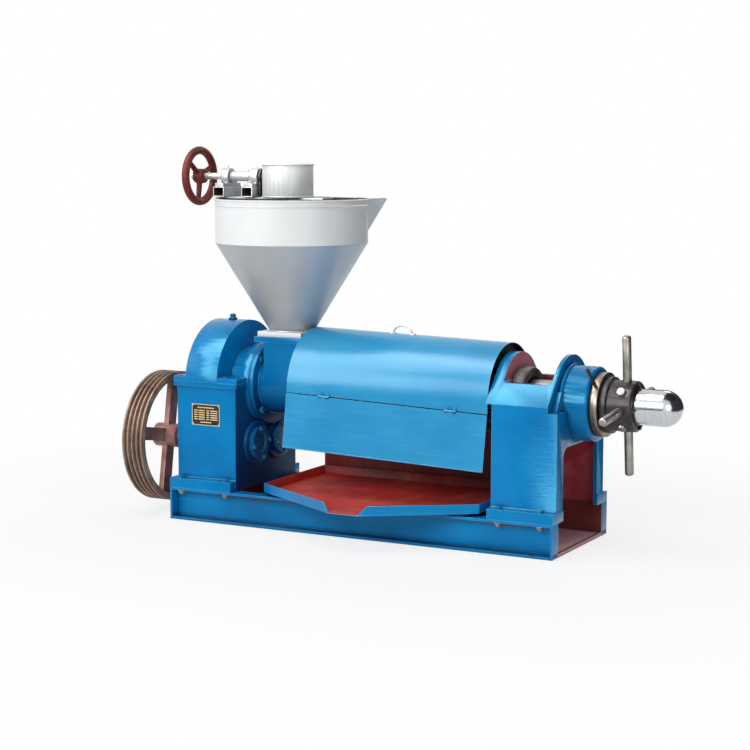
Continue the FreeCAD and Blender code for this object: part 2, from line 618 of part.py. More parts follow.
def cage():
    stations = [value("cage_left") + step for step in (0, 98, 196, 294, 392, 490, 588, 686, 794)]
    for sign, label in ((-1, "cage_lower"), (1, "cage_upper")):
        rails = [box(("cage_left", "cage_right"), sorted((side * 104, side * 150)),
                     sorted(("shaft_line", "shaft_line + %d" % (16 * sign)), key=value)) for side in (-1, 1)]
        discs = [rod("x", x, 0, "shaft_line", 18, "cage_rib") for x in stations]
        spine = box(("cage_left", "cage_right"), (-20, 20), sorted(
            ("shaft_line + %d" % (sign * 95), "shaft_line + %d" % (sign * 118)), key=value))
        whole = fuse(*rails, *discs, spine)
        length = "cage_right - cage_left + 2"
        bore = rod("x", "cage_left - 1", 0, "shaft_line", length, "press_bore + bar_depth")
        other_half = sorted(("shaft_line", "shaft_line - %d" % (200 * sign)), key=value)
        room = box((-300, 540), (-200, 200), other_half)
        holes = [rod("z", x, y, "shaft_line - 30", 60, 7) for x in CLAMP_BOLTS for y in (-139, 139)]
        keep(cut(whole, bore, room, *holes), label)
    bars = []
    count = int(value("bar_count"))
    for index in range(count):
        bar = bind(doc.addObject("Part::Box", "Bar"), Length="cage_right - cage_left", Width="bar_width",
                   Height="bar_depth - 0.6")
        seat = Vector(value("cage_left"), -value("bar_width") / 2, value("press_bore"))
        start = Placement(seat, Rotation())
        turn = Rotation(Vector(1, 0, 0), 360.0 * (index + 0.5) / count)
        bar.Placement = Placement(Vector(0, 0, value("shaft_line")), turn).multiply(start)
        bars.append(bar)
    keep(group(bars), "cage_bars")
    bolts = [bolt("z", x, y, "shaft_line + 16", 12, (7, 48), -32) for x in CLAMP_BOLTS for y in (-139, 139)]
    keep(group(bolts), "cage_clamp_bolts")
    collar = turned([("stand_left + stand_wall", 66), (566, 66), (592, 84), (592, "collar_radius - 4"),
                     (584, "collar_radius"), ("stand_left + stand_wall", "collar_radius")])
    holes = []
    for index in range(8):
        hole = bind(doc.addObject("Part::Cylinder", "Hole"), Radius=8.5, Height=60)
        start = Placement(Vector(562, 0, 60), Rotation())
        turn = Rotation(Vector(1, 0, 0), 45.0 * index + 56)
        hole.Placement = Placement(Vector(0, 0, value("shaft_line")), turn).multiply(start)
        holes.append(hole)
    keep(cut(collar, *holes), "discharge_collar")


def hood():
    body = doc.addObject("PartDesign::Body", "HoodTop")
    ends = (("hood_left", "hood_left_radius", "seam_left"), ("hood_right", "hood_right_radius", "seam_right"))
    sections = [hood_section(body, *end) for end in ends]
    loft = body.newObject("PartDesign::AdditiveLoft", "Loft")
    loft.Profile = sections[0]
    loft.Sections = sections[1:]
    loft.Ruled = True
    place(body, 0, 0, "shaft_line")
    keep(body, "hood_top")
    saddles = []
    slope = value("(hood_right_radius - hood_left_radius) / (hood_right - hood_left)")
    for x in (-262, 470):
        outer = value("hood_left_radius - hood_sheet") + slope * (x + 8 - value("hood_left")) - 0.3
        plate = cut(rod("x", x, 0, "shaft_line", 8, outer), rod("x", x - 1, 0, "shaft_line", 10, "cage_rib"))
        saddles.append(cut(plate, box((x - 1, x + 9), (-300, 300), (200, "shaft_line + 17"))))
    keep(group(saddles), "hood_saddles")
    keep(cut(hood_handle(), body), "hood_handle")
    seam_start = Vector(value("hood_left"), -value("hood_left_radius") - 5, value("seam_left") - 2)
    seam_end = Vector(value("hood_right"), -value("hood_right_radius") - 5, value("seam_right") - 2)
    seam = seam_end - seam_start
    turn = Rotation(Vector(1, 0, 0), seam).multiply(Rotation(Vector(1, 0, 0), -value("flap_lean")))
    at_seam = Placement(seam_start, turn)
    panel = bind(doc.addObject("Part::Box", "Panel"), Length=seam.Length, Width=2, Height="flap_height - 0.8")
    panel.Placement = Placement(Vector(0, 2, -value("flap_height")), Rotation())
    notches = [box((along - 23, along + 23), (-6, 6), (-7, 5)) for along in HINGES]
    lower, upper = [cut(panel, *notches)], []
    for along in HINGES:
        lower.append(rod("x", along - 9, 0, 0, 18, 4.5))
        lower.append(box((along - 9, along + 9), (0, 2), (-15, 0)))
        upper.append(rod("x", along - 22, 0, 0, 44, 2))
        for start in (along - 22, along + 10):
            upper.append(rod("x", start, 0, 0, 12, 4.5))
            upper.append(box((start, start + 12), (3, 4.9), (2, 16)))
    bores = [rod("x", along - 10, 0, 0, 20, 2.05) for along in HINGES]
    flap = cut(fuse(*lower), *bores)
    flap.Placement = at_seam
    keep(flap, "hood_front_flap")
    hinges = fuse(*upper)
    hinges.Placement = Placement(seam_start, Rotation(Vector(1, 0, 0), seam))
    keep(hinges, "hood_hinges")
    keep(rear_guard(), "rear_guard")


def hood_section(body, x, radius, seam):
    """Half-round hood section with a straight leg down to the seam on each side."""
    drawing = sketch(body, "YZ_Plane", x)
    size, leg, thick = value(radius), value("shaft_line - %s" % seam), value("hood_sheet")
    upward = Vector(0, 0, 1)
    inner = size - thick
    drawing.addGeometry(Part.ArcOfCircle(Part.Circle(Vector(), upward, size), 0, math.pi))
    drawing.addGeometry(Part.LineSegment(Vector(-size, 0, 0), Vector(-size, -leg, 0)))
    drawing.addGeometry(Part.LineSegment(Vector(-size, -leg, 0), Vector(-inner, -leg, 0)))
    drawing.addGeometry(Part.LineSegment(Vector(-inner, -leg, 0), Vector(-inner, 0, 0)))
    drawing.addGeometry(Part.ArcOfCircle(Part.Circle(Vector(), upward, inner), 0, math.pi))
    drawing.addGeometry(Part.LineSegment(Vector(inner, 0, 0), Vector(inner, -leg, 0)))
    drawing.addGeometry(Part.LineSegment(Vector(inner, -leg, 0), Vector(size, -leg, 0)))
    drawing.addGeometry(Part.LineSegment(Vector(size, -leg, 0), Vector(size, 0, 0)))
    joints = ((0, 2, 1, 1), (1, 2, 2, 1), (2, 2, 3, 1), (3, 2, 4, 2),
              (4, 1, 5, 1), (5, 2, 6, 1), (6, 2, 7, 1), (7, 2, 0, 1))
    for joint in joints:
        drawing.addConstraint(Sketcher.Constraint("Coincident", *joint))
    for arc in (0, 4):
        drawing.addConstraint(Sketcher.Constraint("Coincident", arc, 3, -1, 1))
        drawing.addConstraint(Sketcher.Constraint("PointOnObject", arc, 1, -1))
        drawing.addConstraint(Sketcher.Constraint("PointOnObject", arc, 2, -1))
    for line in (1, 3, 5, 7):
        drawing.addConstraint(Sketcher.Constraint("Vertical", line))
    for line in (2, 6):
        drawing.addConstraint(Sketcher.Constraint("Horizontal", line))
    sizes = (
        (Sketcher.Constraint("Radius", 0, size), radius),
        (Sketcher.Constraint("Radius", 4, inner), "%s - hood_sheet" % radius),
        (Sketcher.Constraint("DistanceY", 1, 2, 1, 1, leg), "shaft_line - %s" % seam),
        (Sketcher.Constraint("DistanceY", 7, 1, 7, 2, leg), "shaft_line - %s" % seam),
    )
    for constraint, text in sizes:
        number = drawing.addConstraint(constraint)
        drawing.setExpression("Constraints[%d]" % number, formula(text))
    return drawing


def hood_handle():
    """Bent wire loop standing on the crown of the hood."""
    centre, wire, spread, rise = 76.0, 3.0, 40.0, 30.0
    slope = value("(hood_right_radius - hood_left_radius) / (hood_right - hood_left)")
    crown = value("shaft_line + hood_left_radius")
    feet = [crown + slope * (centre + side * spread - value("hood_left")) for side in (-1, 1)]
    left, right = Vector(centre - spread, 0, feet[0]), Vector(centre + spread, 0, feet[1])
    top = Vector(centre, 0, crown + slope * (centre - value("hood_left")) + rise)
    path = Part.Wire([Part.Arc(left, top, right).toShape()])
    start = path.Edges[0].tangentAt(path.Edges[0].FirstParameter)
    ring_section = Part.Wire([Part.makeCircle(wire, left, start)])
    handle = doc.addObject("Part::Feature", "Handle")
    handle.Shape = path.makePipeShell([ring_section], True, True)
    return handle


def rear_guard():
    web = box(("tray_left", "tray_right"), (228, 231), ("channel_depth", 470))
    foot = box(("tray_left", "tray_right"), (228, 252), ("channel_depth", "channel_depth + 3"))
    return fuse(web, foot)


def oil_tray():
    corners = [("tray_left", "tray_back"), ("tray_left", "tray_front"), ("spout_left", "spout_front"),
               ("spout_right", "spout_front"), ("tray_right", "tray_front"), ("tray_right", "tray_back")]
    body = padded(corners, "XY_Plane", "tray_floor", "tray_depth")
    doc.recompute()
    pad = body.Tip
    top = max(range(len(pad.Shape.Faces)), key=lambda index: pad.Shape.Faces[index].CenterOfMass.z)
    hollow = body.newObject("PartDesign::Thickness", "Hollow")
    hollow.Base = (pad, ["Face%d" % (top + 1)])
    bind(hollow, Value="tray_sheet")
    hollow.Reversed = True
    hollow.Mode = 0
    hollow.Join = 1
    body.Tip = hollow
    mouth = box(("spout_left - 2", "spout_right + 2"), ("spout_front - 5", "spout_front + 22"),
                ("tray_floor + tray_sheet", 200))
    runners = []
    for x in (-340, 420):
        runners.append(box((x, x + 30), (-240, "tray_back - 4"), ("channel_depth", "tray_floor")))
    keep(fuse(cut(body, mouth), *runners), "oil_tray")


def discharge_stand():
    left, right, half, wall = "stand_left", "stand_right", "stand_half", "stand_wall"
    top_width, top = 124, 620
    outer_slope = [("-" + half, "shoulder"), (half, "shoulder"), (top_width, top), (-top_width, top)]
    inner_slope = [("-stand_half + stand_wall", "shoulder - 8"), ("stand_half - stand_wall", "shoulder - 8"),
                   (130, "window_floor + 1"), (-130, "window_floor + 1")]
    crown_length = "crown_right - stand_left"
    foot_sides = ("-base_width / 2", "base_width / 2")
    solid = [
        box((left, "crown_right"), ("-" + half, half), ("channel_depth", "shoulder")),
        padded(outer_slope, "YZ_Plane", left, crown_length),
        rod("x", left, 0, "shaft_line", crown_length, "crown_radius"),
        box(("crown_right", right), ("-" + half, half), ("channel_depth", "ledge")),
        box((left, "base_length / 2"), foot_sides, ("channel_depth", "channel_depth + foot_thick")),
        padded([(-185, "ledge - 1"), (185, "ledge - 1"), (142, 560), (-142, 560)], "YZ_Plane",
               "crown_right - 1", 19),
        cut(fuse(padded(outer_slope, "YZ_Plane", "crown_left", "stand_left - crown_left + 1"),
                 rod("x", "crown_left", 0, "shaft_line", "stand_left - crown_left + 1", "crown_radius")),
            box((400, left), (-300, 300), (300, "shoulder"))),
    ]
    inner_y = ("-stand_half + stand_wall", "stand_half - stand_wall")
    inner_x = ("stand_left + stand_wall", "crown_right - stand_wall")
    round_x = (inner_x[0] + " + window_round", inner_x[1] + " - window_round")
    room = [
        box(inner_x, inner_y, ("channel_depth - 1", "shoulder - 8")),
        padded(inner_slope, "YZ_Plane", inner_x[0], "crown_right - stand_left - 2 * stand_wall"),
        box(inner_x, (-300, 300), ("window_floor + window_round", 800)),
        box(round_x, (-300, 300), ("window_floor", 800)),
        rod("y", round_x[0], -300, "window_floor + window_round", 600, "window_round"),
        rod("y", round_x[1], -300, "window_floor + window_round", 600, "window_round"),
        rod("x", "crown_left - 1", 0, "shaft_line", "stand_left - crown_left + 1", 154),
        box(("crown_right - stand_wall - 1", "stand_right - stand_wall"), inner_y,
            ("channel_depth - 1", 360)),
    ]
    arch_x = ("crown_right - 40", "base_length / 2 + 10")
    room += [
        box(arch_x, ("-arch_half", "arch_half"), ("channel_depth - 1", 330)),
        box(arch_x, ("-arch_half + 40", "arch_half - 40"), (300, 370)),
        rod("x", arch_x[0], "-arch_half + 40", 330, 90, 40),
        rod("x", arch_x[0], "arch_half - 40", 330, 90, 40),
        rod("x", "stand_left - 1", 0, "shaft_line", 20, "press_bore + 4"),
        rod("x", "crown_right - stand_wall - 1", 0, "shaft_line", 80, "housing_radius"),
        rod("x", "crown_right", 0, "shaft_line", 17, "housing_radius + 9.5"),
        rod("x", inner_x[0], 0, "shaft_line", 50, "collar_radius + 1"),
    ]
    holes = [rod("z", x, y, "channel_depth - 5", 60, 8) for x in FOOT_BOLTS[2:] for y in FOOT_SIDES]
    keep(cut(fuse(*solid), *room, *holes), "discharge_stand")
    on_foot = "channel_depth + foot_thick"
    bolts = [bolt("z", x, y, on_foot, 13, (8, 62), -46) for x in FOOT_BOLTS for y in FOOT_SIDES]
    keep(group(bolts), "foot_bolts")
    keep(turned([("crown_right - stand_wall", "sleeve_radius"), ("housing_right", "sleeve_radius"),
                 ("housing_right", "housing_radius - 6"), ("housing_right - 6", "housing_radius"),
                 ("crown_right + 16", "housing_radius"), ("crown_right + 14", "housing_radius + 9"),
                 ("crown_right + 0.2", "housing_radius + 9"), ("crown_right + 0.2", "housing_radius"),
                 ("crown_right - stand_wall", "housing_radius")]), "bearing_housing")


def adjuster():
    fit = "sleeve_radius - 0.05"
    keep(turned([("crown_right + 8", 62), ("crown_right + 24", 62), ("crown_right + 24", 35.05),
                 ("crown_right + 60", 35.05), ("crown_right + 60", 62), ("crown_right + 74", 62),
                 ("crown_right + 74", fit), ("crown_right + 8", fit)]), "thrust_carrier")
    lock = ring("lock_left", "lock_right", "lock_radius", "sleeve_radius + 0.1")
    lever_turn = Rotation(Vector(1, 0, 0), 50)
    lever_start = Vector(value("(lock_left + lock_right) / 2"), 0, value("lock_radius") - 14)
    socket = bind(doc.addObject("Part::Cylinder", "Socket"), Radius=6, Height=20)
    lever = bind(doc.addObject("Part::Cylinder", "Lever"), Radius=6, Height="lever_length")
    on_shaft = Placement(Vector(0, 0, value("shaft_line")), lever_turn)
    at_lever = on_shaft.multiply(Placement(lever_start, Rotation()))
    for piece in (socket, lever):
        piece.Placement = at_lever
    keep(cut(lock, socket), "lock_ring")
    keep(lever, "lock_lever")
    left = "hub_left"
    hub = turned([("crown_right + 76", 60), ("hub_right", 60), ("hub_right", "hub_radius - 6"),
                  ("hub_right - 6", "hub_radius"), ("hub_left + 22", "hub_radius"),
                  ("hub_left + 18", "hub_flange"), (left, "hub_flange"), (left, fit),
                  ("crown_right + 76", fit)])
    bars, sockets, plugs, plug_sockets = [], [], [], []
    for index in range(4):
        bar_turn = Rotation(Vector(1, 0, 0), value("bar_tilt") + 90 * index)
        plug_turn = Rotation(Vector(1, 0, 0), value("bar_tilt") + 90 * index + 45)
        for pieces, radius, turn, low, high in (
                (bars, "bar_radius", bar_turn, 62, "bar_reach"), (sockets, "bar_radius", bar_turn, 62, 110),
                (plugs, 15, plug_turn, 66, "hub_radius + 8"), (plug_sockets, 15, plug_turn, 66, 110)):
            pin = bind(doc.addObject("Part::Cylinder", "Pin"), Radius=radius, Height="%s - %s" % (high, low))
            start = Placement(Vector(value("bar_x"), 0, low), Rotation())
            pin.Placement = Placement(Vector(0, 0, value("shaft_line")), turn).multiply(start)
            pieces.append(pin)
    keep(cut(hub, *sockets, *plug_sockets), "adjusting_hub")
    keep(group(bars), "adjusting_bars")
    keep(group(plugs), "hub_plugs")
    nose = turned([("hub_right", 0), ("hub_right", "nose_radius"), ("nose_tip - nose_radius", "nose_radius"),
                   ("nose_tip - nose_radius", 0)])
    ball = bind(doc.addObject("Part::Sphere", "Ball"), Radius="nose_radius")
    place(ball, "nose_tip - nose_radius", 0, "shaft_line")
    hollow = rod("x", "hub_right - 1", 0, "shaft_line", 80, 40)
    keep(cut(fuse(nose, ball), hollow), "nose_cap")


FOOT_BOLTS = (-735, -540, 565, 721)
FOOT_SIDES = (-value("foot_bolt_y"), value("foot_bolt_y"))
ANCHORS = (-700, 700)
ANCHOR_Y = 234
SPLIT_BOLTS = [(x, y) for x in (-742, -545) for y in (-221.5, 221.5)]
STAND_TUBES = (-669, -545)
PILLOW_BLOCKS = (-667, -540)
CLAMP_BOLTS = (-220, -24, 172, 368)
HINGES = (154, 652)

base_frame()
gearbox()
cover_bolts = bearing_caps()
bearings()
drive_train()
drive_pulley()
cover_bolts += feed_body()
keep(group(cover_bolts), "cover_bolts")
hopper()
feeder()
handwheel()
press_screw()
cage()
hood()
oil_tray()
discharge_stand()
adjuster()

doc.recompute()
failed = [item.Label for item in doc.Objects if "Invalid" in item.State or "Error" in item.State]
if failed:
    raise RuntimeError("these objects failed: %s" % ", ".join(failed))
for piece in kept:
    if piece.Shape.isNull() or not piece.Shape.isValid():
        raise RuntimeError("%s has no valid shape" % piece.Label)
for piece in kept:
    piece.Shape.exportStep("parts/%s.step" % piece.Label)
    print("%-22s %3d solids %12.0f mm3" % (piece.Label, len(piece.Shape.Solids), piece.Shape.Volume))
print(len(kept), "sub-parts")
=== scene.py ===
import json
import math

import bpy
from mathutils import Euler, Matrix, Vector


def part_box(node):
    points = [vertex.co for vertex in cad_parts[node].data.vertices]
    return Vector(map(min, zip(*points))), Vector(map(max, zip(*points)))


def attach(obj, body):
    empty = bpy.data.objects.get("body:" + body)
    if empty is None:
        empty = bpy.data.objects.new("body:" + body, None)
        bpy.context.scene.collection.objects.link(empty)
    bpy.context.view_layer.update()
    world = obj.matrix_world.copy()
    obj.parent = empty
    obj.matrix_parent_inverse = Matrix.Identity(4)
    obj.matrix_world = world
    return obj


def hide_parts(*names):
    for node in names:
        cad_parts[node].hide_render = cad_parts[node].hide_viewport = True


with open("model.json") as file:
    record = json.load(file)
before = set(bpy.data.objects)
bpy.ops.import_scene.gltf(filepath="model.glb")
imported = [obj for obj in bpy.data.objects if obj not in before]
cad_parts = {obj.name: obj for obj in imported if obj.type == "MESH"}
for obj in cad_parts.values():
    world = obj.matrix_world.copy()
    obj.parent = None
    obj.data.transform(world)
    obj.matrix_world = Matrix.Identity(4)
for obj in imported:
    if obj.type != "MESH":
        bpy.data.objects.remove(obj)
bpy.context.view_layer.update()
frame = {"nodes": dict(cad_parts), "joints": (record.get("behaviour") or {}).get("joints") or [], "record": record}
nodes = frame["nodes"]
joints = {joint["name"]: joint for joint in frame["joints"]}
slotOf = {entry["node"]: entry["material_slot"] for entry in frame["record"]["subparts"]}
print("frame loaded:", len(nodes), "nodes")

# the machine's main lines, as its joints give them
screwLine = joints["screw_turn"]["pos_m"][2]
hopperLine = joints["auger_turn"]["pos_m"][0]
handLine = Vector(joints["handwheel_turn"]["pos_m"])
pulleyLine = Vector(joints["pulley_turn"]["pos_m"])


def linear(color):
    # colours are written as 0-255 screen values: red, green, blue
    channels = []
    for value in color:
        share = value / 255
        channels.append(share / 12.92 if share <= 0.04045 else ((share + 0.055) / 1.055) ** 2.4)
    return (*channels, 1)


def deselectAll():
    if bpy.context.object and bpy.context.object.mode != "OBJECT":
        bpy.ops.object.mode_set(mode="OBJECT")
    bpy.ops.object.select_all(action="DESELECT")


def pick(*picked):
    deselectAll()
    for piece in picked:
        piece.select_set(True)
    bpy.context.view_layer.objects.active = picked[0]


# node building blocks, shared by all finishes

def newMaterial(name):
    material = bpy.data.materials.new(name)
    material.use_nodes = True
    tree = material.node_tree
    return material, tree, tree.nodes["Principled BSDF"]


def feed(tree, socket, source):
    # a socket gets a link or a plain value
    if isinstance(source, bpy.types.NodeSocket):
        tree.links.new(source, socket)
    else:
        socket.default_value = source


def coat(tree, shader, color, rough, metal=0.0, shine=0.5):
    feed(tree, shader.inputs["Base Color"], color)
    feed(tree, shader.inputs["Roughness"], rough)
    feed(tree, shader.inputs["Metallic"], metal)
    feed(tree, shader.inputs["Specular IOR Level"], shine)


def axes(tree):
    # where a spot is on the machine, as three separate numbers in metres
    parts = tree.nodes.new("ShaderNodeSeparateXYZ")
    tree.links.new(coords(tree), parts.inputs["Vector"])
    return parts.outputs["X"], parts.outputs["Y"], parts.outputs["Z"]


def coords(tree, stretch=(1, 1, 1)):
    source = tree.nodes.new("ShaderNodeTexCoord")
    mapping = tree.nodes.new("ShaderNodeMapping")
    mapping.inputs["Scale"].default_value = stretch
    tree.links.new(source.outputs["Object"], mapping.inputs["Vector"])
    return mapping.outputs["Vector"]


def calc(tree, operation, *sources):
    node = tree.nodes.new("ShaderNodeMath")
    node.operation = operation
    for socket, source in zip(node.inputs, sources):
        feed(tree, socket, source)
    return node.outputs["Value"]


def above(tree, value, low):
    return calc(tree, "GREATER_THAN", value, low)


def below(tree, value, high):
    return calc(tree, "LESS_THAN", value, high)


def within(tree, value, low, high):
    # 1 between the two limits, 0 outside them
    return times(tree, above(tree, value, low), below(tree, value, high))


def times(tree, first, *others):
    for other in others:
        first = calc(tree, "MULTIPLY", first, other)
    return first


def hypotenuse(tree, first, second):
    squares = [calc(tree, "MULTIPLY", side, side) for side in (first, second)]
    return calc(tree, "SQRT", calc(tree, "ADD", *squares))


def noise(tree, scale, detail=4.0, rough=0.55, stretch=(1, 1, 1)):
    node = tree.nodes.new("ShaderNodeTexNoise")
    node.inputs["Scale"].default_value = scale
    node.inputs["Detail"].default_value = detail
    node.inputs["Roughness"].default_value = rough
    tree.links.new(coords(tree, stretch), node.inputs["Vector"])
    return node.outputs["Fac"]


def ramp(tree, socket, *stops):
    node = tree.nodes.new("ShaderNodeValToRGB")
    elements = node.color_ramp.elements
    for element, (position, color) in zip(elements, (stops[0], stops[-1])):
        element.position, element.color = position, linear(color)
    for position, color in stops[1:-1]:
        elements.new(position).color = linear(color)
    tree.links.new(socket, node.inputs["Fac"])
    return node.outputs["Color"]


def span(tree, socket, low, high, start=0.3, end=0.7):
    # low at the start value, high at the end value, a straight rise between them
    node = tree.nodes.new("ShaderNodeMapRange")
    node.inputs["From Min"].default_value = start
    node.inputs["From Max"].default_value = end
    node.inputs["To Min"].default_value = low
    node.inputs["To Max"].default_value = high
    tree.links.new(socket, node.inputs["Value"])
    return node.outputs["Result"]


def blendColor(tree, factor, first, second):
    # the factor is a socket, the colours are sockets or screen values
    node = tree.nodes.new("ShaderNodeMix")
    node.data_type = "RGBA"
    for name, source in (("Factor", factor), ("A", first), ("B", second)):
        socket = next(s for s in node.inputs if s.name == name and s.enabled)
        feed(tree, socket, source if isinstance(source, bpy.types.NodeSocket) else linear(source))
    return next(s for s in node.outputs if s.enabled)


def bump(tree, shader, height, distance, strength=1.0, before=None):
    node = tree.nodes.new("ShaderNodeBump")
    node.inputs["Strength"].default_value = strength
    node.inputs["Distance"].default_value = distance
    tree.links.new(height, node.inputs["Height"])
    if before is not None:
        tree.links.new(before, node.inputs["Normal"])
    tree.links.new(node.outputs["Normal"], shader.inputs["Normal"])
    return node.outputs["Normal"]


def cornerGrimeAndShade(tree, paint, reach, most, grimeShadeColor, clear=0.9):
    # dirt and painted shade gathered in the corners: most of it where a spot is shut in, none where it lies open
    shade = tree.nodes.new("ShaderNodeAmbientOcclusion")
    shade.samples = 4
    shade.inputs["Distance"].default_value = reach
    return blendColor(tree, span(tree, shade.outputs["AO"], most, 0.0, 0.3, clear), paint, grimeShadeColor)


def edges(tree, reach):
    # 1 on a sharp edge, 0 on the flat
    rounded = tree.nodes.new("ShaderNodeBevel")
    rounded.samples = 4
    rounded.inputs["Radius"].default_value = reach
    plain = tree.nodes.new("ShaderNodeNewGeometry")
    match = tree.nodes.new("ShaderNodeVectorMath")
    match.operation = "DOT_PRODUCT"
    tree.links.new(rounded.outputs["Normal"], match.inputs[0])
    tree.links.new(plain.outputs["Normal"], match.inputs[1])
    return span(tree, match.outputs["Value"], 1.0, 0.0, 0.86, 0.985)


# paints: the first two give a colour socket and a roughness socket, the others a whole material

def bluePaint(tree, tones, stretch, gloss):
    # brushed-on gloss: broad drift, faint brush lines, paler edges that are partly wear and partly a painted
    # highlight, dirt and painted shade in the corners
    drift = noise(tree, 3.1, 3.0)
    strokes = noise(tree, 15, 5.0, 0.6, stretch)
    drifted = ramp(tree, drift, (0.3, tones["deep"]), (0.52, tones["plain"]), (0.76, tones["bright"]))
    stroked = blendColor(tree, span(tree, strokes, 0.0, 0.22), drifted, tones["bright"])
    # pale cyan on the edges: partly worn paint, partly a painted highlight
    rim = times(tree, edges(tree, 0.0032), span(tree, noise(tree, 30, 4.0), 0.25, 0.9))
    paleEdges = blendColor(tree, rim, stroked, (108, 188, 224))
    flaking = span(tree, noise(tree, 75, 5.0, 0.7), 0.0, 0.9, 0.62, 0.68)
    chipped = blendColor(tree, times(tree, edges(tree, 0.004), flaking), paleEdges, (78, 62, 58))
    dirtAndShade = cornerGrimeAndShade(tree, chipped, 0.02, 0.8, (6, 18, 34), 0.85)
    return dirtAndShade, span(tree, strokes, gloss - 0.03, gloss + 0.08)


def oxidePaint(tree, tones, rough):
    # primer with rubbed, dusty patches and runs; meal dust lies on what stands above "dustAbove",
    # and painted shade darkens it between the two places along the machine that the tones give
    patches = noise(tree, 5.5, 6.0, 0.62)
    streaks = noise(tree, 12, 5.0, 0.6, (1, 1, 3.5))
    base = ramp(tree, patches, (0.28, tones["dark"]), (0.52, tones["plain"]), (0.78, tones["pale"]))
    paint = blendColor(tree, span(tree, streaks, 0.0, 0.3), base, tones["dark"])
    if "dustAbove" in tones:
        foot = tones["dustAbove"]
        settled = span(tree, axes(tree)[2], 0.0, 0.75, foot, foot + 0.05)
        dust = times(tree, settled, span(tree, patches, 0.6, 1.0))
        paint = blendColor(tree, dust, paint, tones["pale"])
    # painted shade: darker towards the outlet end, under the stand and the hood
    if "shadedAlong" in tones:
        shadeShare = times(tree, span(tree, axes(tree)[0], 0.0, 0.75, *tones["shadedAlong"]),
                    span(tree, patches, 0.7, 1.0))
        paint = blendColor(tree, shadeShare, paint, (52, 8, 8))
    # dirt and painted shade in the corners
    dirtAndShade = cornerGrimeAndShade(tree, paint, 0.03, 0.65, (30, 10, 9))
    return dirtAndShade, span(tree, streaks, rough, rough + 0.2)


blueTones = {"deep": (0, 98, 158), "plain": (0, 118, 182), "bright": (2, 136, 200)}
# a lighter copy of the blue for the hood's sheets: a painted highlight for the light they catch
litSheetTones = {"deep": (30, 138, 192), "plain": (46, 150, 202), "bright": (66, 164, 210)}
# a darker copy of the blue for the two right-hand caps: painted shade
shadedCapTones = {"deep": (0, 58, 112), "plain": (0, 78, 138), "bright": (0, 100, 164)}
tealTones = {"deep": (0, 52, 74), "plain": (2, 78, 108), "bright": (8, 112, 142)}
oxideTones = {"dark": (100, 20, 20), "plain": (140, 32, 28), "pale": (172, 76, 66)}
# near white: faded, dusty oxide, and partly a painted highlight for the light the plate catches under the stand
dustAndLightTones = {"dark": (226, 172, 176), "plain": (250, 214, 218), "pale": (255, 236, 236)}
# the rear guard darkens towards the outlet end: painted shade
guardTones = {**oxideTones, "shadedAlong": (-0.1, 0.50)}
standTones = {"dark": (144, 36, 46), "plain": (190, 58, 68), "pale": (216, 150, 158), "dustAbove": 0.57}
# the tray darkens towards its right end: painted shade
trayTones = {"dark": (158, 26, 20), "plain": (206, 44, 30), "pale": (226, 104, 88), "shadedAlong": (-0.02, 0.50)}
# near black: painted shade for the hood's underside and the saddles beneath it
shadowBlackTones = {"dark": (10, 10, 12), "plain": (20, 20, 23), "pale": (40, 38, 38)}
boltTones = {"dark": (104, 100, 94), "plain": (150, 146, 140), "pale": (184, 180, 174)}
blueTint, sheetTint = (0.32, 0.98, 1, 1), (0.75, 1, 1, 1)


def enamel(name, tones=blueTones, stretch=(1, 1, 9), gloss=0.2, inside=None, lining=oxideTones, shine=0.42,
           tint=blueTint, paintedShade=None):
    # gloss blue, dark and dull as painted shade where the given shade mask rises, and where inside(tree) gives 1,
    # the lining's primer
    material, tree, shader = newMaterial(name)
    color, rough = bluePaint(tree, tones, stretch, gloss)
    if paintedShade is not None:
        shadeShare = paintedShade(tree)
        # painted shade: a deep navy film
        color = blendColor(tree, shadeShare, color, (0, 32, 92))
        rough = calc(tree, "MULTIPLY_ADD", shadeShare, 0.35, rough)
    if inside is not None:
        mask = inside(tree)
        primer, matt = oxidePaint(tree, lining, 0.5)
        color = blendColor(tree, mask, color, primer)
        rough = calc(tree, "ADD", times(tree, rough, calc(tree, "SUBTRACT", 1.0, mask)),
                     times(tree, matt, mask))
    coat(tree, shader, color, rough, shine=shine)
    shader.inputs["Specular Tint"].default_value = tint
    lines = bump(tree, shader, noise(tree, 15, 5.0, 0.6, stretch), 0.001, 0.4)
    bump(tree, shader, noise(tree, 170, 2.0), 0.0002, 0.5, lines)
    return material


def redOxide(name, tones, rough=0.45):
    material, tree, shader = newMaterial(name)
    color, matt = oxidePaint(tree, tones, rough)
    coat(tree, shader, color, matt, shine=0.35)
    bump(tree, shader, noise(tree, 120, 4.0), 0.0004, 0.5)
    return material


def aluminiumPaint(name, dark, plain, pale, rough=0.42, metal=0.3, streaky=0.25):
    # silver paint: soft sheen with faint runs down the sheet
    material, tree, shader = newMaterial(name)
    runs = noise(tree, 9, 5.0, 0.6, (1, 1, 0.15))
    base = ramp(tree, noise(tree, 3, 3.0), (0.28, dark), (0.5, plain), (0.75, pale))
    mixed = blendColor(tree, span(tree, runs, 0.0, streaky), base, dark)
    matt = span(tree, runs, rough - streaky * 0.2, rough + streaky * 0.5)
    coat(tree, shader, cornerGrimeAndShade(tree, mixed, 0.02, 0.5, (84, 84, 82)), matt, metal)
    bump(tree, shader, noise(tree, 260, 3.0), 0.0002, 0.4)
    return material


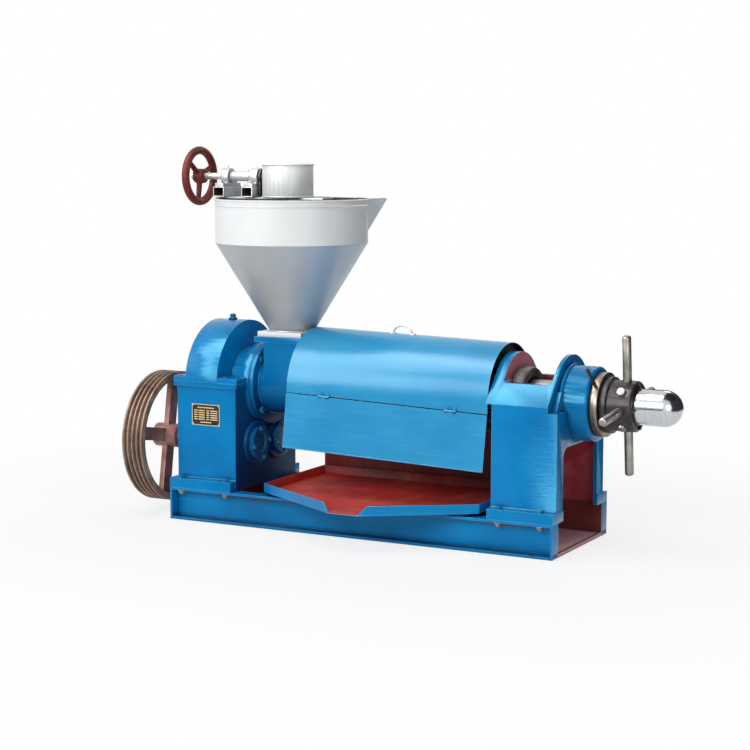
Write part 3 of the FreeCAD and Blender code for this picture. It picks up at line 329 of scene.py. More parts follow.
def ironCasting(name, dark, plain, pale, metal=0.35, rough=0.55, grain=0.0007, shine=0.5):
    # bare or thinly primed casting: mottled, with a sandy skin
    material, tree, shader = newMaterial(name)
    mottle = noise(tree, 14, 7.0, 0.66)
    base = ramp(tree, mottle, (0.3, dark), (0.52, plain), (0.72, pale))
    paleEdges = blendColor(tree, times(tree, edges(tree, 0.002), 0.5), base, pale)
    coat(tree, shader, cornerGrimeAndShade(tree, paleEdges, 0.02, 0.6, (24, 18, 15)),
         span(tree, mottle, rough - 0.12, rough + 0.15), metal, shine)
    bump(tree, shader, noise(tree, 150, 5.0, 0.6), grain, 0.6)
    return material


def turnedSteel(name, dark, pale, rough=0.28, stretch=(90, 1, 1), wear=0.4):
    # machined steel: fine turning lines and a few dull spots
    material, tree, shader = newMaterial(name)
    lines = noise(tree, 7, 3.0, 0.5, stretch)
    spots = noise(tree, 22, 6.0, 0.65)
    base = ramp(tree, lines, (0.25, dark), (0.75, pale))
    mixed = blendColor(tree, span(tree, spots, 0.0, wear, 0.5, 0.75), base, dark)
    coat(tree, shader, mixed, span(tree, spots, rough - 0.06, rough + 0.18), 0.95)
    bump(tree, shader, lines, 0.00012, 0.5)
    return material


def polishedSteel():
    # bright nose: only a breath of turning lines and a few dull smears
    material, tree, shader = newMaterial("polished nose")
    smears = noise(tree, 11, 5.0, 0.6)
    lines = noise(tree, 6, 2.0, 0.5, (60, 1, 1))
    tone = ramp(tree, lines, (0.3, (192, 195, 198)), (0.7, (204, 207, 210)))
    dulled = blendColor(tree, span(tree, smears, 0.0, 0.3, 0.5, 0.75), tone, (140, 142, 144))
    coat(tree, shader, dulled, span(tree, smears, 0.12, 0.22), 1.0)
    return material


# masks: where the finish of one node changes, 1 inside and 0 outside

skin = 0.0015  # a mask ends this far inside the sheet's edge
standLining = {"left": 0.5438, "right": 0.7585, "half": 0.2065, "shoulder": 0.507, "shelf": 0.4935,
               "crownRight": 0.7233, "crownTop": 0.5957}


def insideStand(tree):
    # inner faces of the discharge stand and the facing sides of its two crowns
    across, depth, height = axes(tree)
    rise = calc(tree, "MAXIMUM", calc(tree, "SUBTRACT", height, standLining["shoulder"]), 0.0)
    low = below(tree, height, standLining["shelf"])
    high = calc(tree, "SUBTRACT", 1.0, low)
    right = calc(tree, "ADD", times(tree, low, standLining["right"]),
                 times(tree, high, standLining["crownRight"]))
    reach = calc(tree, "ADD", calc(tree, "ABSOLUTE", depth), rise)
    room = below(tree, reach, standLining["half"])
    crown = above(tree, height, standLining["crownTop"])
    return times(tree, within(tree, across, standLining["left"], right),
                calc(tree, "MAXIMUM", room, crown))


trayLow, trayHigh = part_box("oil_tray")
traySheet = {"front": -0.227, "floor": 0.130, "spoutLeft": 0.025, "spoutRight": 0.138}


def insideTray(tree):
    # the inner faces, so that only the outer faces and the lip stay blue
    across, depth, height = axes(tree)
    mask = times(tree, within(tree, across, trayLow.x + skin, trayHigh.x - skin),
                within(tree, depth, trayLow.y - 0.01, trayHigh.y - skin),
                above(tree, height, traySheet["floor"] + skin))
    fall = traySheet["front"] - trayLow.y
    for side, corner, spout in ((1, trayLow.x, "spoutLeft"), (-1, trayHigh.x, "spoutRight")):
        run = abs(traySheet[spout] - corner)
        slant = math.hypot(run, fall)
        slantX, slantY = side * fall / slant, run / slant
        level = slantX * corner + slantY * traySheet["front"] + skin
        leaning = calc(tree, "MULTIPLY_ADD", across, slantX, times(tree, depth, slantY))
        mask = times(tree, mask, above(tree, leaning, level))
    return mask


hoodLow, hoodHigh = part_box("hood_top")
hoodSheet = {"rightRadius": 0.197, "foot": 0.522}


def underHood(tree):
    # the hollow side of the tapered half-round sheet, painted near black as shade
    across, depth, height = axes(tree)
    slope = (hoodSheet["rightRadius"] - hoodHigh.y) / (hoodHigh.x - hoodLow.x)
    inner = calc(tree, "MULTIPLY_ADD", across, slope, hoodHigh.y - slope * hoodLow.x - skin)
    rise = calc(tree, "MAXIMUM", calc(tree, "SUBTRACT", height, screwLine), 0.0)
    return times(tree, below(tree, hypotenuse(tree, depth, rise), inner),
                above(tree, height, hoodSheet["foot"]))


rail = {"band": 0.074, "ragged": 0.05, "underFlange": 0.1115, "end": 0.766, "innerSide": 0.2025,
        "flangeFoot": (0.0055, 0.017), "flangeWide": (0.2085, 0.2525)}


def underFlange(tree):
    # an uneven band below each channel's top flange, partly primer left showing and partly a painted shadow of the
    # flange, and primer all over its inner side
    across, depth, height = axes(tree)
    ragged = calc(tree, "MULTIPLY_ADD", noise(tree, 6, 5.0, 0.6, (1, 1, 0.4)), rail["ragged"], rail["band"])
    fade = span(tree, calc(tree, "SUBTRACT", height, ragged), 0.0, 0.85, -0.008, 0.012)
    web = times(tree, fade, within(tree, height, 0.0, rail["underFlange"]),
               below(tree, calc(tree, "ABSOLUTE", across), rail["end"]))
    return calc(tree, "MAXIMUM", web, below(tree, calc(tree, "ABSOLUTE", depth), rail["innerSide"]))


def flangeTop(tree):
    # painted reflection of the dark ground: a dark band on the lower flange of each channel
    depth, height = axes(tree)[1:]
    lying = times(tree, within(tree, height, *rail["flangeFoot"]),
                 within(tree, calc(tree, "ABSOLUTE", depth), *rail["flangeWide"]))
    return times(tree, lying, 0.85)


shadeRun = {"bodyLow": 0.40, "bodyHigh": 0.57, "caseSide": -0.5085, "caseLow": 0.2, "caseHigh": 0.56}


def underScrew(tree):
    # painted shade: the feed body darkens downwards from the screw line
    return span(tree, axes(tree)[2], 0.85, 0.0, shadeRun["bodyLow"], shadeRun["bodyHigh"])


def besideCaps(tree):
    # painted shade on the gearbox face under the feed body, darkest near the floor
    across, _, height = axes(tree)
    rising = span(tree, height, 0.9, 0.3, shadeRun["caseLow"], shadeRun["caseHigh"])
    return times(tree, above(tree, across, shadeRun["caseSide"]), rising)


boltGap = 0.14  # between the bolts' heads and their nuts


def insideBoltGap(tree):
    # bolt heads were painted over, nuts and shanks were not
    return below(tree, axes(tree)[2], boltGap)


tubes = {"bottom": 1.2066, "top": 1.2374, "middles": (-0.669, -0.545), "half": 0.0205}


def tubePaint():
    # silver outside, dark brown inside the square tubes
    material, tree, shader = newMaterial("tube paint")
    across, _, height = axes(tree)
    bores = [within(tree, across, middle - tubes["half"], middle + tubes["half"])
             for middle in tubes["middles"]]
    inner = times(tree, within(tree, height, tubes["bottom"], tubes["top"]), calc(tree, "ADD", *bores))
    paint = ramp(tree, noise(tree, 3, 3.0), (0.28, (164, 166, 168)), (0.75, (202, 205, 207)))
    tubeHollowTone = ramp(tree, noise(tree, 40, 5.0), (0.3, (34, 24, 20)), (0.7, (74, 54, 44)))
    coat(tree, shader, blendColor(tree, inner, cornerGrimeAndShade(tree, paint, 0.02, 0.5, (84, 84, 82)), tubeHollowTone),
         span(tree, inner, 0.42, 0.8, 0.0, 1.0), span(tree, inner, 0.3, 0.0, 0.0, 1.0))
    bump(tree, shader, noise(tree, 260, 3.0), 0.0002, 0.4)
    return material


pulleyWeb = 0.2  # the primer shows within this radius


def pulleyPaint():
    # olive brown rim, red primer showing through on the hub and the spokes
    material, tree, shader = newMaterial("pulley iron")
    depth, height = axes(tree)[1:]
    reach = hypotenuse(tree, calc(tree, "SUBTRACT", depth, pulleyLine.y),
                       calc(tree, "SUBTRACT", height, pulleyLine.z))
    mottle = noise(tree, 14, 7.0, 0.66)
    rim = ramp(tree, mottle, (0.3, (92, 72, 57)), (0.52, (136, 114, 93)), (0.72, (168, 152, 130)))
    web = ramp(tree, mottle, (0.3, (122, 76, 70)), (0.52, (168, 118, 108)), (0.72, (196, 160, 148)))
    uneven = calc(tree, "MULTIPLY_ADD", noise(tree, 9, 4.0), 0.05, reach)
    nearHub = span(tree, uneven, 1.0, 0.0, pulleyWeb, pulleyWeb + 0.03)
    blushes = span(tree, noise(tree, 5, 5.0), 0.0, 0.45, 0.5, 0.7)
    primed = blendColor(tree, calc(tree, "MAXIMUM", nearHub, blushes), rim, web)
    coat(tree, shader, cornerGrimeAndShade(tree, primed, 0.02, 0.7, (22, 17, 13)), span(tree, mottle, 0.43, 0.7), 0.3)
    bump(tree, shader, noise(tree, 150, 5.0, 0.6), 0.0007, 0.6)
    return material


hopper = {"radius": 0.284, "outlet": 0.084, "floor": 0.708, "shoulder": 1.036, "rim": 1.197,
          "roll": 0.0032, "mouth": 16.2, "lipTurn": 42, "lipRoot": 0.270, "lipHalf": 0.078,
          "lipReach": 0.367, "lipWire": 0.0022, "seam": 0.0028, "seamTurn": 128, "outletWeld": 0.0035}


def insideHopper(tree, foot):
    # the inner faces, which are painted darker as shade
    across, depth, height = axes(tree)
    out = calc(tree, "SUBTRACT", across, hopperLine)
    wall = span(tree, height, hopper["outlet"] - 0.0017, hopper["radius"] - skin, foot, hopper["shoulder"])
    return times(tree, below(tree, hypotenuse(tree, out, depth), wall), above(tree, height, foot))


def hopperPaint():
    # near white on the upright band, satin grey on the cone below it
    material, tree, shader = newMaterial("hopper paint")
    across, _, height = axes(tree)
    foot = hopper["floor"] + 0.0005
    cone = within(tree, height, foot, hopper["shoulder"] + 0.0005)
    runs = noise(tree, 7, 5.0, 0.6, (1, 1, 0.12))
    cloud = noise(tree, 2.6, 3.0)
    band = ramp(tree, cloud, (0.3, (218, 219, 218)), (0.7, (234, 236, 237)))
    flange = blendColor(tree, below(tree, height, foot), band, (250, 251, 252))
    satin = ramp(tree, cloud, (0.3, (160, 159, 157)), (0.7, (184, 187, 190)))
    # painted reflection: a pale blue sheen towards the right side of the cone
    sideways = span(tree, across, 0.0, 0.75, -0.36, -0.2)
    paintedSheen = blendColor(tree, times(tree, sideways, span(tree, runs, 0.35, 1.0)), satin, (196, 214, 232))
    streaked = blendColor(tree, span(tree, runs, 0.0, 0.3), paintedSheen, (146, 150, 154))
    # painted shade: a dull brownish grey on the inner faces
    paintedShade = ramp(tree, noise(tree, 6, 5.0), (0.3, (96, 90, 78)), (0.7, (138, 134, 124)))
    color = blendColor(tree, insideHopper(tree, foot), blendColor(tree, cone, flange, streaked), paintedShade)
    coat(tree, shader, cornerGrimeAndShade(tree, color, 0.015, 0.5, (88, 88, 86)), span(tree, runs, 0.3, 0.46),
         times(tree, cone, 0.36), 0.3)
    bump(tree, shader, noise(tree, 220, 3.0), 0.0002, 0.4)
    return material


silver = aluminiumPaint("aluminium paint", (196, 198, 199), (214, 217, 218), (226, 229, 230))
blockSilver = aluminiumPaint("block paint", (164, 166, 168), (186, 189, 191), (202, 205, 207))
drumSilver = aluminiumPaint("drum paint", (214, 217, 218), (227, 230, 231), (236, 238, 239), 0.5, 0.1, 0.08)
plateRim = aluminiumPaint("pale plate rim", (170, 164, 140), (206, 200, 176), (226, 222, 204), 0.35)
plateGold = aluminiumPaint("gilt plate lines", (200, 164, 100), (232, 200, 136), (244, 222, 172), 0.4)
channelBlue = enamel("blue channel", stretch=(0.3, 5, 5), inside=underFlange, paintedShade=flangeTop)
shadedCapBlue = enamel("blue covers in painted shade", shadedCapTones)

# finishes by material slot, then the nodes with one of their own, as every silver and rust node has
finishes = {
    "blue": enamel("blue enamel"),
    "maroon": redOxide("red oxide", oxideTones),
    "wheel_red": ironCasting("red brown enamel", (70, 20, 17), (106, 36, 31), (126, 52, 45), 0.0, 0.5,
                             0.0003, 0.2),
    "steel": turnedSteel("turned steel", (140, 140, 138), (214, 213, 210)),
    "worn_steel": turnedSteel("worn bar steel", (116, 112, 106), (176, 172, 165), 0.36, (3, 3, 3), 0.5),
    "dark_iron": ironCasting("dark casting", (24, 20, 20), (48, 40, 42), (84, 74, 77), 0.25, 0.42, 0.0003),
    "chrome": polishedSteel(),
    "gear_steel": turnedSteel("oiled gear steel", (60, 58, 56), (120, 118, 114), 0.35),
    "plate": ironCasting("plate lacquer", (12, 11, 9), (22, 19, 15), (34, 29, 22), 0.2, 0.35, 0.0001),
}
special = {
    "base_channel_front": channelBlue,
    "base_channel_rear": channelBlue,
    "base_bottom_plate": redOxide("dusty red oxide, painted light", dustAndLightTones, 0.55),
    "foot_bolts": enamel("blue heads, bare nuts", inside=insideBoltGap, lining=boltTones),
    "gearbox_lower_case": enamel("blue gear case", shine=0.28, paintedShade=besideCaps),
    "gearbox_split_bolts": enamel("blue small parts"),
    "breather_plug": enamel("dark teal plug", tealTones),
    "input_cap_right": shadedCapBlue,
    "middle_cap_right": shadedCapBlue,
    "feed_body": enamel("blue feed body", shine=0.28, paintedShade=underScrew),
    "hood_top": enamel("blue hood sheet", litSheetTones, (0.35, 7, 7), 0.2, underHood, shadowBlackTones, 0.26,
                       sheetTint),
    "hood_hinges": enamel("blue hinge leaves", litSheetTones, shine=0.26, tint=sheetTint),
    "hood_front_flap": enamel("blue flap sheet", litSheetTones, (0.35, 7, 7), 0.22, shine=0.26, tint=sheetTint),
    "hood_saddles": redOxide("saddles in painted shadow", shadowBlackTones),
    "rear_guard": redOxide("red oxide, painted shade at the outlet", guardTones),
    "oil_tray": enamel("blue tray, primed inside", inside=insideTray, lining=trayTones),
    "discharge_stand": enamel("blue stand, primed inside", inside=insideStand, lining=standTones),
    "discharge_collar": ironCasting("dark grey collar", (54, 50, 50), (92, 88, 88), (132, 130, 130)),
    "lock_ring": turnedSteel("browned ring steel", (72, 64, 57), (160, 150, 138), 0.34, (60, 1, 1), 0.6),
    "drive_pulley": pulleyPaint(),
    "hopper": hopperPaint(),
    "hopper_crossbar": blockSilver,
    "bearing_stand": tubePaint(),
    "pillow_blocks": blockSilver,
    "feeder_drum": drumSilver,
}
for name, node in nodes.items():
    node.data.materials.clear()
    node.data.materials.append(special.get(name) or finishes[slotOf[name]])
print("finishes on every node")


def softEdges(name, width, rings=2):
    # the solid's own mesh stays, and its drawn edges are rounded
    piece = nodes[name]
    merged = piece.modifiers.new("Merged", "WELD")
    merged.merge_threshold = 0.00001
    flat = piece.modifiers.new("Flat faces", "DECIMATE")
    flat.decimate_type = "DISSOLVE"
    flat.angle_limit = math.radians(0.5)
    rounded = piece.modifiers.new("Rounded", "BEVEL")
    rounded.width = width
    rounded.segments = rings
    rounded.limit_method = "ANGLE"
    rounded.angle_limit = math.radians(40)
    rounded.use_clamp_overlap = True
    rounded.harden_normals = True
    pick(piece)
    bpy.ops.object.shade_smooth_by_angle(angle=math.radians(35))


edgeWidths = {
    "base_channel_front": 0.0018, "base_channel_rear": 0.0018, "base_bottom_plate": 0.001,
    "gearbox_lower_case": 0.003, "gearbox_upper_case": 0.003, "feed_body": 0.003,
    "discharge_stand": 0.004, "bearing_housing": 0.003, "adjusting_hub": 0.002, "lock_ring": 0.0015,
    "drive_pulley": 0.002, "hub_plugs": 0.002, "discharge_collar": 0.002,
    "pillow_blocks": 0.0025, "bearing_stand": 0.001, "feeder_drum": 0.001,
    "cage_upper": 0.002, "cage_lower": 0.002, "hopper_crossbar": 0.001, "cover_bolts": 0.001,
    "foot_bolts": 0.0015, "gearbox_split_bolts": 0.001, "breather_plug": 0.001,
}
for name, width in edgeWidths.items():
    softEdges(name, width)
for name, width in {"adjusting_bars": 0.008, "lock_lever": 0.004}.items():
    softEdges(name, width, 5)
print("edges rounded")


def finishPiece(piece, name, body, material=None, smooth=35):
    # the piece's place goes into its mesh, then it gets its finish and the body it moves with
    pick(piece)
    bpy.ops.object.transform_apply(location=True, rotation=True, scale=True)
    bpy.ops.object.shade_smooth_by_angle(angle=math.radians(smooth))
    piece.name = name
    piece.data.name = name
    if material is not None:
        piece.data.materials.append(material)
    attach(piece, body)


def joinPieces(parts):
    for part in parts:
        pick(part)
        bpy.ops.object.transform_apply(location=True, rotation=True, scale=True)
    pick(*parts)
    bpy.ops.object.join()
    return bpy.context.object


def applyModifier(piece, kind, **settings):
    pick(piece)
    modifier = piece.modifiers.new(kind.title(), kind)
    for name, value in settings.items():
        setattr(modifier, name, value)
    bpy.ops.object.modifier_apply(modifier=modifier.name)


def roundEdges(piece, width, rings=2, angle=30):
    applyModifier(piece, "BEVEL", width=width, segments=rings, limit_method="ANGLE",
                  angle_limit=math.radians(angle))


def editWhere(piece, kind, wanted):
    # leaves the piece in edit mode with the faces or points picked that wanted(part) asks for
    pick(piece)
    bpy.ops.object.mode_set(mode="EDIT")
    bpy.ops.mesh.select_mode(type=kind)
    bpy.ops.mesh.select_all(action="DESELECT")
    bpy.ops.object.mode_set(mode="OBJECT")
    for part in piece.data.polygons if kind == "FACE" else piece.data.vertices:
        part.select = wanted(part)
    bpy.ops.object.mode_set(mode="EDIT")


def closeMesh():
    bpy.ops.mesh.select_all(action="SELECT")
    bpy.ops.mesh.remove_doubles(threshold=0.00001)
    bpy.ops.mesh.select_all(action="SELECT")
    bpy.ops.mesh.fill_holes(sides=0)
    bpy.ops.mesh.select_all(action="SELECT")
    bpy.ops.mesh.normals_make_consistent(inside=False)
    bpy.ops.object.mode_set(mode="OBJECT")


def towards(direction):
    return Vector(direction).to_track_quat("Z", "Y").to_euler()


def outFrom(turn, reach):
    # a step away from a line along X, turned about it from straight up
    return Matrix.Rotation(math.radians(turn), 3, "X") @ Vector((0, 0, reach))


def addSlab(low, high, edge, rings=1):
    middle = [(a + b) / 2 for a, b in zip(low, high)]
    bpy.ops.mesh.primitive_cube_add(size=1, location=middle, scale=[b - a for a, b in zip(low, high)])
    slab = bpy.context.object
    pick(slab)
    bpy.ops.object.transform_apply(location=True, rotation=True, scale=True)
    roundEdges(slab, edge, rings)
    return slab


def addDome(at, direction, radius, height):
    # rivet head: a ball cut in half and pressed flat
    bpy.ops.mesh.primitive_uv_sphere_add(segments=14, ring_count=8, radius=radius, location=at,
                                         rotation=towards(direction))
    dome = bpy.context.object
    pick(dome)
    bpy.ops.object.mode_set(mode="EDIT")
    bpy.ops.mesh.select_all(action="SELECT")
    bpy.ops.mesh.bisect(plane_co=at, plane_no=direction, use_fill=True, clear_inner=True)
    bpy.ops.object.mode_set(mode="OBJECT")
    dome.scale.z = height / radius
    return dome


def addWasher(at, direction, outer, inner, thick):
    bpy.ops.mesh.primitive_cylinder_add(vertices=28, radius=outer, depth=thick, location=at,
                                        rotation=towards(direction))
    washer = bpy.context.object
    editWhere(washer, "FACE", lambda face: abs(face.normal.z) > 0.9)
    bpy.ops.mesh.inset(thickness=outer - inner)
    bpy.ops.mesh.bridge_edge_loops()
    closeMesh()
    roundEdges(washer, min(thick, outer - inner) * 0.2)
    return washer


def addHexHead(at, direction, radius, height):
    # bolt head with a chamfered crown, standing on the point given
    up = Vector(direction)
    bpy.ops.mesh.primitive_cylinder_add(vertices=6, radius=radius, depth=height, rotation=towards(up),
                                        location=Vector(at) + up * height / 2)
    head = bpy.context.object
    editWhere(head, "FACE", lambda face: face.normal.z > 0.9)
    bpy.ops.mesh.inset(thickness=radius * 0.16)
    bpy.ops.transform.translate(value=up * height * 0.12)
    bpy.ops.object.mode_set(mode="OBJECT")
    roundEdges(head, radius * 0.05)
    return head


def addRing(at, axis, radius, section, start=0.0, sweep=360.0, steps=72, sides=10):
    # round bar bent round an axis: one section is spun from the start angle
    spinAxis = Vector(axis)
    out = Vector((0, 0, 1)) if spinAxis.x else Vector((1, 0, 0))
    out.rotate(Matrix.Rotation(math.radians(start), 3, spinAxis))
    bpy.ops.mesh.primitive_circle_add(vertices=sides, radius=section, location=Vector(at) + out * radius,
                                      rotation=towards(spinAxis.cross(out)))
    ring = bpy.context.object
    pick(ring)
    bpy.ops.object.transform_apply(location=True, rotation=True, scale=True)
    bpy.ops.object.mode_set(mode="EDIT")
    bpy.ops.mesh.select_all(action="SELECT")
    bpy.ops.mesh.spin(steps=steps, angle=math.radians(sweep), center=at, axis=spinAxis)
    closeMesh()
    return ring


def addBead(start, end, radius, pitch=0.006):
    # weld bead: one ripple is repeated along the line and roughened
    start, run = Vector(start), Vector(end) - Vector(start)
    bpy.ops.mesh.primitive_circle_add(vertices=8, radius=radius * 0.82)
    bead = bpy.context.object
    pick(bead)
    bpy.ops.object.mode_set(mode="EDIT")
    bpy.ops.mesh.select_all(action="SELECT")
    for growth in (1.3, 1 / 1.3):
        bpy.ops.mesh.extrude_edges_move(TRANSFORM_OT_translate={"value": (0, 0, pitch / 2)})
        bpy.ops.transform.resize(value=(growth, growth, 1))
    bpy.ops.object.mode_set(mode="OBJECT")
    applyModifier(bead, "ARRAY", fit_type="FIT_LENGTH", fit_length=run.length, use_relative_offset=False,
                  use_constant_offset=True, constant_offset_displace=(0, 0, pitch),
                  use_merge_vertices=True, merge_threshold=0.0001)
    bpy.ops.object.mode_set(mode="EDIT")
    closeMesh()
    bpy.ops.object.mode_set(mode="EDIT")
    bpy.ops.mesh.select_all(action="SELECT")
    bpy.ops.transform.vertex_random(offset=radius * 0.12, seed=3)
    bpy.ops.object.mode_set(mode="OBJECT")
    bead.rotation_euler = towards(run)
    bead.location = start
    return bead


def addRod(start, end, radius, tip=None, sides=20):
    # bar from one point to another, tapered where a tip radius is given, with softened ends
    start, run = Vector(start), Vector(end) - Vector(start)
    bpy.ops.mesh.primitive_cone_add(vertices=sides, radius1=radius, radius2=tip or radius, depth=run.length,
                                    location=start + run / 2, rotation=towards(run))
    bar = bpy.context.object
    roundEdges(bar, radius * 0.25, 3, 50)
    return bar


# dashes run from one share of the plate's width to another, counted from its middle
plate = {"thick": 0.0022, "rim": 0.0026, "sunk": 0.0008, "line": 0.0036, "topDrop": 0.013, "footRise": 0.012,
         "topDash": ((-0.30, 0.30),), "footDash": ((-0.2, 0.2),),
         "rows": 5, "rowDrop": 0.024, "rowStep": 0.00826,
         "rowDash": ((-0.42, -0.30), (-0.26, -0.04), (0.02, 0.12), (0.16, 0.42)),
         "rivetIn": 0.0058, "rivet": 0.0024, "rivetHigh": 0.0014}


def makeNamePlate():
    low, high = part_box("nameplate")
    front = high.y - plate["thick"]
    field = front + plate["sunk"]
    base = addSlab((low.x, front, low.z), high, 0.0002)
    editWhere(base, "FACE", lambda face: face.normal.y < -0.9 and abs(face.center.y - front) < 0.0001)
    bpy.ops.mesh.inset(thickness=plate["rim"])
    bpy.ops.mesh.extrude_region_move(TRANSFORM_OT_translate={"value": (0, plate["sunk"], 0)})
    bpy.ops.object.mode_set(mode="OBJECT")
    base.data.materials.append(plateRim)
    base.data.materials.append(finishes["plate"])
    for face in base.data.polygons:
        face.material_index = int(abs(face.center.y - field) < 0.0001 and face.normal.y < -0.9)
    rows = [(high.z - plate["topDrop"], plate["topDash"]), (low.z + plate["footRise"], plate["footDash"])]
    for row in range(plate["rows"]):
        rows.append((high.z - plate["rowDrop"] - row * plate["rowStep"], plate["rowDash"]))
    marks = []
    middle, wide, half = (low.x + high.x) / 2, high.x - low.x, plate["line"] / 2
    for level, dashes in rows:
        for start, end in dashes:
            marks.append(addSlab((middle + start * wide, field - 0.0004, level - half),
                                 (middle + end * wide, field + 0.0002, level + half), 0.0001))
    for across in (low.x + plate["rivetIn"], high.x - plate["rivetIn"]):
        for level in (low.z + plate["rivetIn"], high.z - plate["rivetIn"]):
            marks.append(addDome((across, field, level), (0, -1, 0), plate["rivet"], plate["rivetHigh"]))
    for mark in marks:
        mark.data.materials.append(plateGold)
    namePlate = joinPieces([base] + marks)
    finishPiece(namePlate, "namePlate", "machine_frame")
    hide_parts("nameplate")


makeNamePlate()

wheel = {"radius": 0.097, "rim": 0.015, "hub": 0.0275, "hubLeft": 0.0195, "hubRight": 0.0255, "turn": 173,
         "spoke": 0.0115, "spokeTip": 0.009, "spokeStart": 0.012, "spokeEnd": 0.095, "grain": 0.0017,
         "nut": 0.0165, "nutHigh": 0.011}


def makeHandwheel():
    # cast wheel: rim, hub and three spokes melted together, so that they meet in fillets
    parts = [addRing(handLine, (1, 0, 0), wheel["radius"], wheel["rim"], steps=96, sides=24)]
    hubStart = handLine - Vector((wheel["hubLeft"], 0, 0))
    hubEnd = handLine + Vector((wheel["hubRight"], 0, 0))
    parts.append(addRod(hubStart, hubEnd, wheel["hub"], sides=40))
    for turn in (wheel["turn"], wheel["turn"] + 120, wheel["turn"] + 240):
        start = handLine + outFrom(turn, wheel["spokeStart"])
        end = handLine + outFrom(turn, wheel["spokeEnd"])
        parts.append(addRod(start, end, wheel["spoke"], wheel["spokeTip"], 24))
    casting = joinPieces(parts)
    applyModifier(casting, "REMESH", mode="VOXEL", voxel_size=wheel["grain"])
    applyModifier(casting, "SMOOTH", factor=0.5, iterations=8)
    finishPiece(casting, "handwheelCasting", "hand_drive", finishes["wheel_red"], smooth=80)
    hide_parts("handwheel")
    nut = addHexHead(hubStart, (-1, 0, 0), wheel["nut"], wheel["nutHigh"])
    finishPiece(nut, "handwheelNut", "hand_drive", finishes["steel"])


makeHandwheel()
print("name plate and handwheel")

# how far the top corners of the spout's rims are cut back, left and right
traySpout = {"left": (0.023, (-0.0224, 0.0132, 0)), "right": (0.140, (0.0249, 0.0168, 0)), "front": -0.458,
             "rim": 0.160, "near": 0.003, "edge": 0.0006}


def makeTray():
    # the folded tray, its two front rims cut off at a slant beside the spout
    tray = bpy.data.objects.new("foldedTray", nodes["oil_tray"].data.copy())
    bpy.context.collection.objects.link(tray)
    pick(tray)
    bpy.ops.object.mode_set(mode="EDIT")
    bpy.ops.mesh.select_all(action="SELECT")
    bpy.ops.mesh.remove_doubles(threshold=0.00001)
    bpy.ops.object.mode_set(mode="OBJECT")
    for corner, cut in (traySpout["left"], traySpout["right"]):
        editWhere(tray, "VERT", lambda point: point.co.z > traySpout["rim"]
                  and point.co.y < traySpout["front"] and abs(point.co.x - corner) < traySpout["near"])
        bpy.ops.transform.translate(value=cut)
        bpy.ops.object.mode_set(mode="OBJECT")
    bpy.ops.object.mode_set(mode="EDIT")
    bpy.ops.mesh.select_all(action="SELECT")
    bpy.ops.mesh.dissolve_limited(angle_limit=math.radians(0.5))
    bpy.ops.object.mode_set(mode="OBJECT")
    roundEdges(tray, traySpout["edge"], 1, 40)
    finishPiece(tray, "foldedTray", "tray")
    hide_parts("oil_tray")


makeTray()


def makeHopperTrim():
    # rolled wire round the rim, open at the pouring lip, and a wire along the lip's two edges
    centre = Vector((hopperLine, 0, hopper["rim"]))
    mouth, turn = hopper["mouth"], hopper["lipTurn"]
    parts = [addRing(centre - Vector((0, 0, 0.001)), (0, 0, 1), hopper["radius"] + 0.0006, hopper["roll"],
                     turn + mouth, 360 - 2 * mouth, 120)]
    turned = Matrix.Rotation(math.radians(turn), 3, "Z")
    tip = centre + turned @ Vector((hopper["lipReach"] - 0.002, 0, 0))
    for side in (-1, 1):
        corner = centre + turned @ Vector((hopper["lipRoot"], side * hopper["lipHalf"], 0))
        parts.append(addRod(corner, tip, hopper["lipWire"], sides=12))
    finishPiece(joinPieces(parts), "hopperRolledRim", "machine_frame", special["hopper"])


def makeHopperSeams():
    # lap seam down the back of the sheet, and the run of weld round the outlet
    turn = math.radians(hopper["seamTurn"])
    spots = [(hopperLine + radius * math.cos(turn), radius * math.sin(turn), level)
             for radius, level in ((hopper["outlet"], hopper["floor"] + 0.004),
                                   (hopper["radius"], hopper["shoulder"]),
                                   (hopper["radius"], hopper["rim"] - 0.03))]
    seams = [addBead(first, second, hopper["seam"]) for first, second in zip(spots, spots[1:])]
    seams.append(addRing((hopperLine, 0, hopper["floor"] + 0.0015), (0, 0, 1), hopper["outlet"] + 0.001,
                         hopper["outletWeld"], steps=64, sides=8))
    finishPiece(joinPieces(seams), "hopperSeams", "machine_frame", silver)


makeHopperTrim()
makeHopperSeams()

drumWires = {"proud": 0.0002, "topIn": 0.0035, "topWire": 0.0034, "bottomIn": 0.003, "bottomWire": 0.0024}


def makeDrumTrim():
    # wire rolled into the drum's two rims
    low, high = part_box("feeder_drum")
    middle, around = (low.x + high.x) / 2, (high.x - low.x) / 2 + drumWires["proud"]
    parts = [addRing((middle, 0, level), (0, 0, 1), around, section, steps=80)
             for level, section in ((high.z - drumWires["topIn"], drumWires["topWire"]),
                                    (low.z + drumWires["bottomIn"], drumWires["bottomWire"]))]
    finishPiece(joinPieces(parts), "drumTrim", "machine_frame", drumSilver)


makeDrumTrim()

pillow = {"x": (-0.667, -0.540), "foot": 1.254, "reach": 0.047, "washer": 0.011, "hole": 0.005,
          "bolt": 0.0085, "boltHigh": 0.006, "crown": 0.028, "nipple": 0.0042, "nippleTip": 0.003,
          "nippleHigh": 0.010}


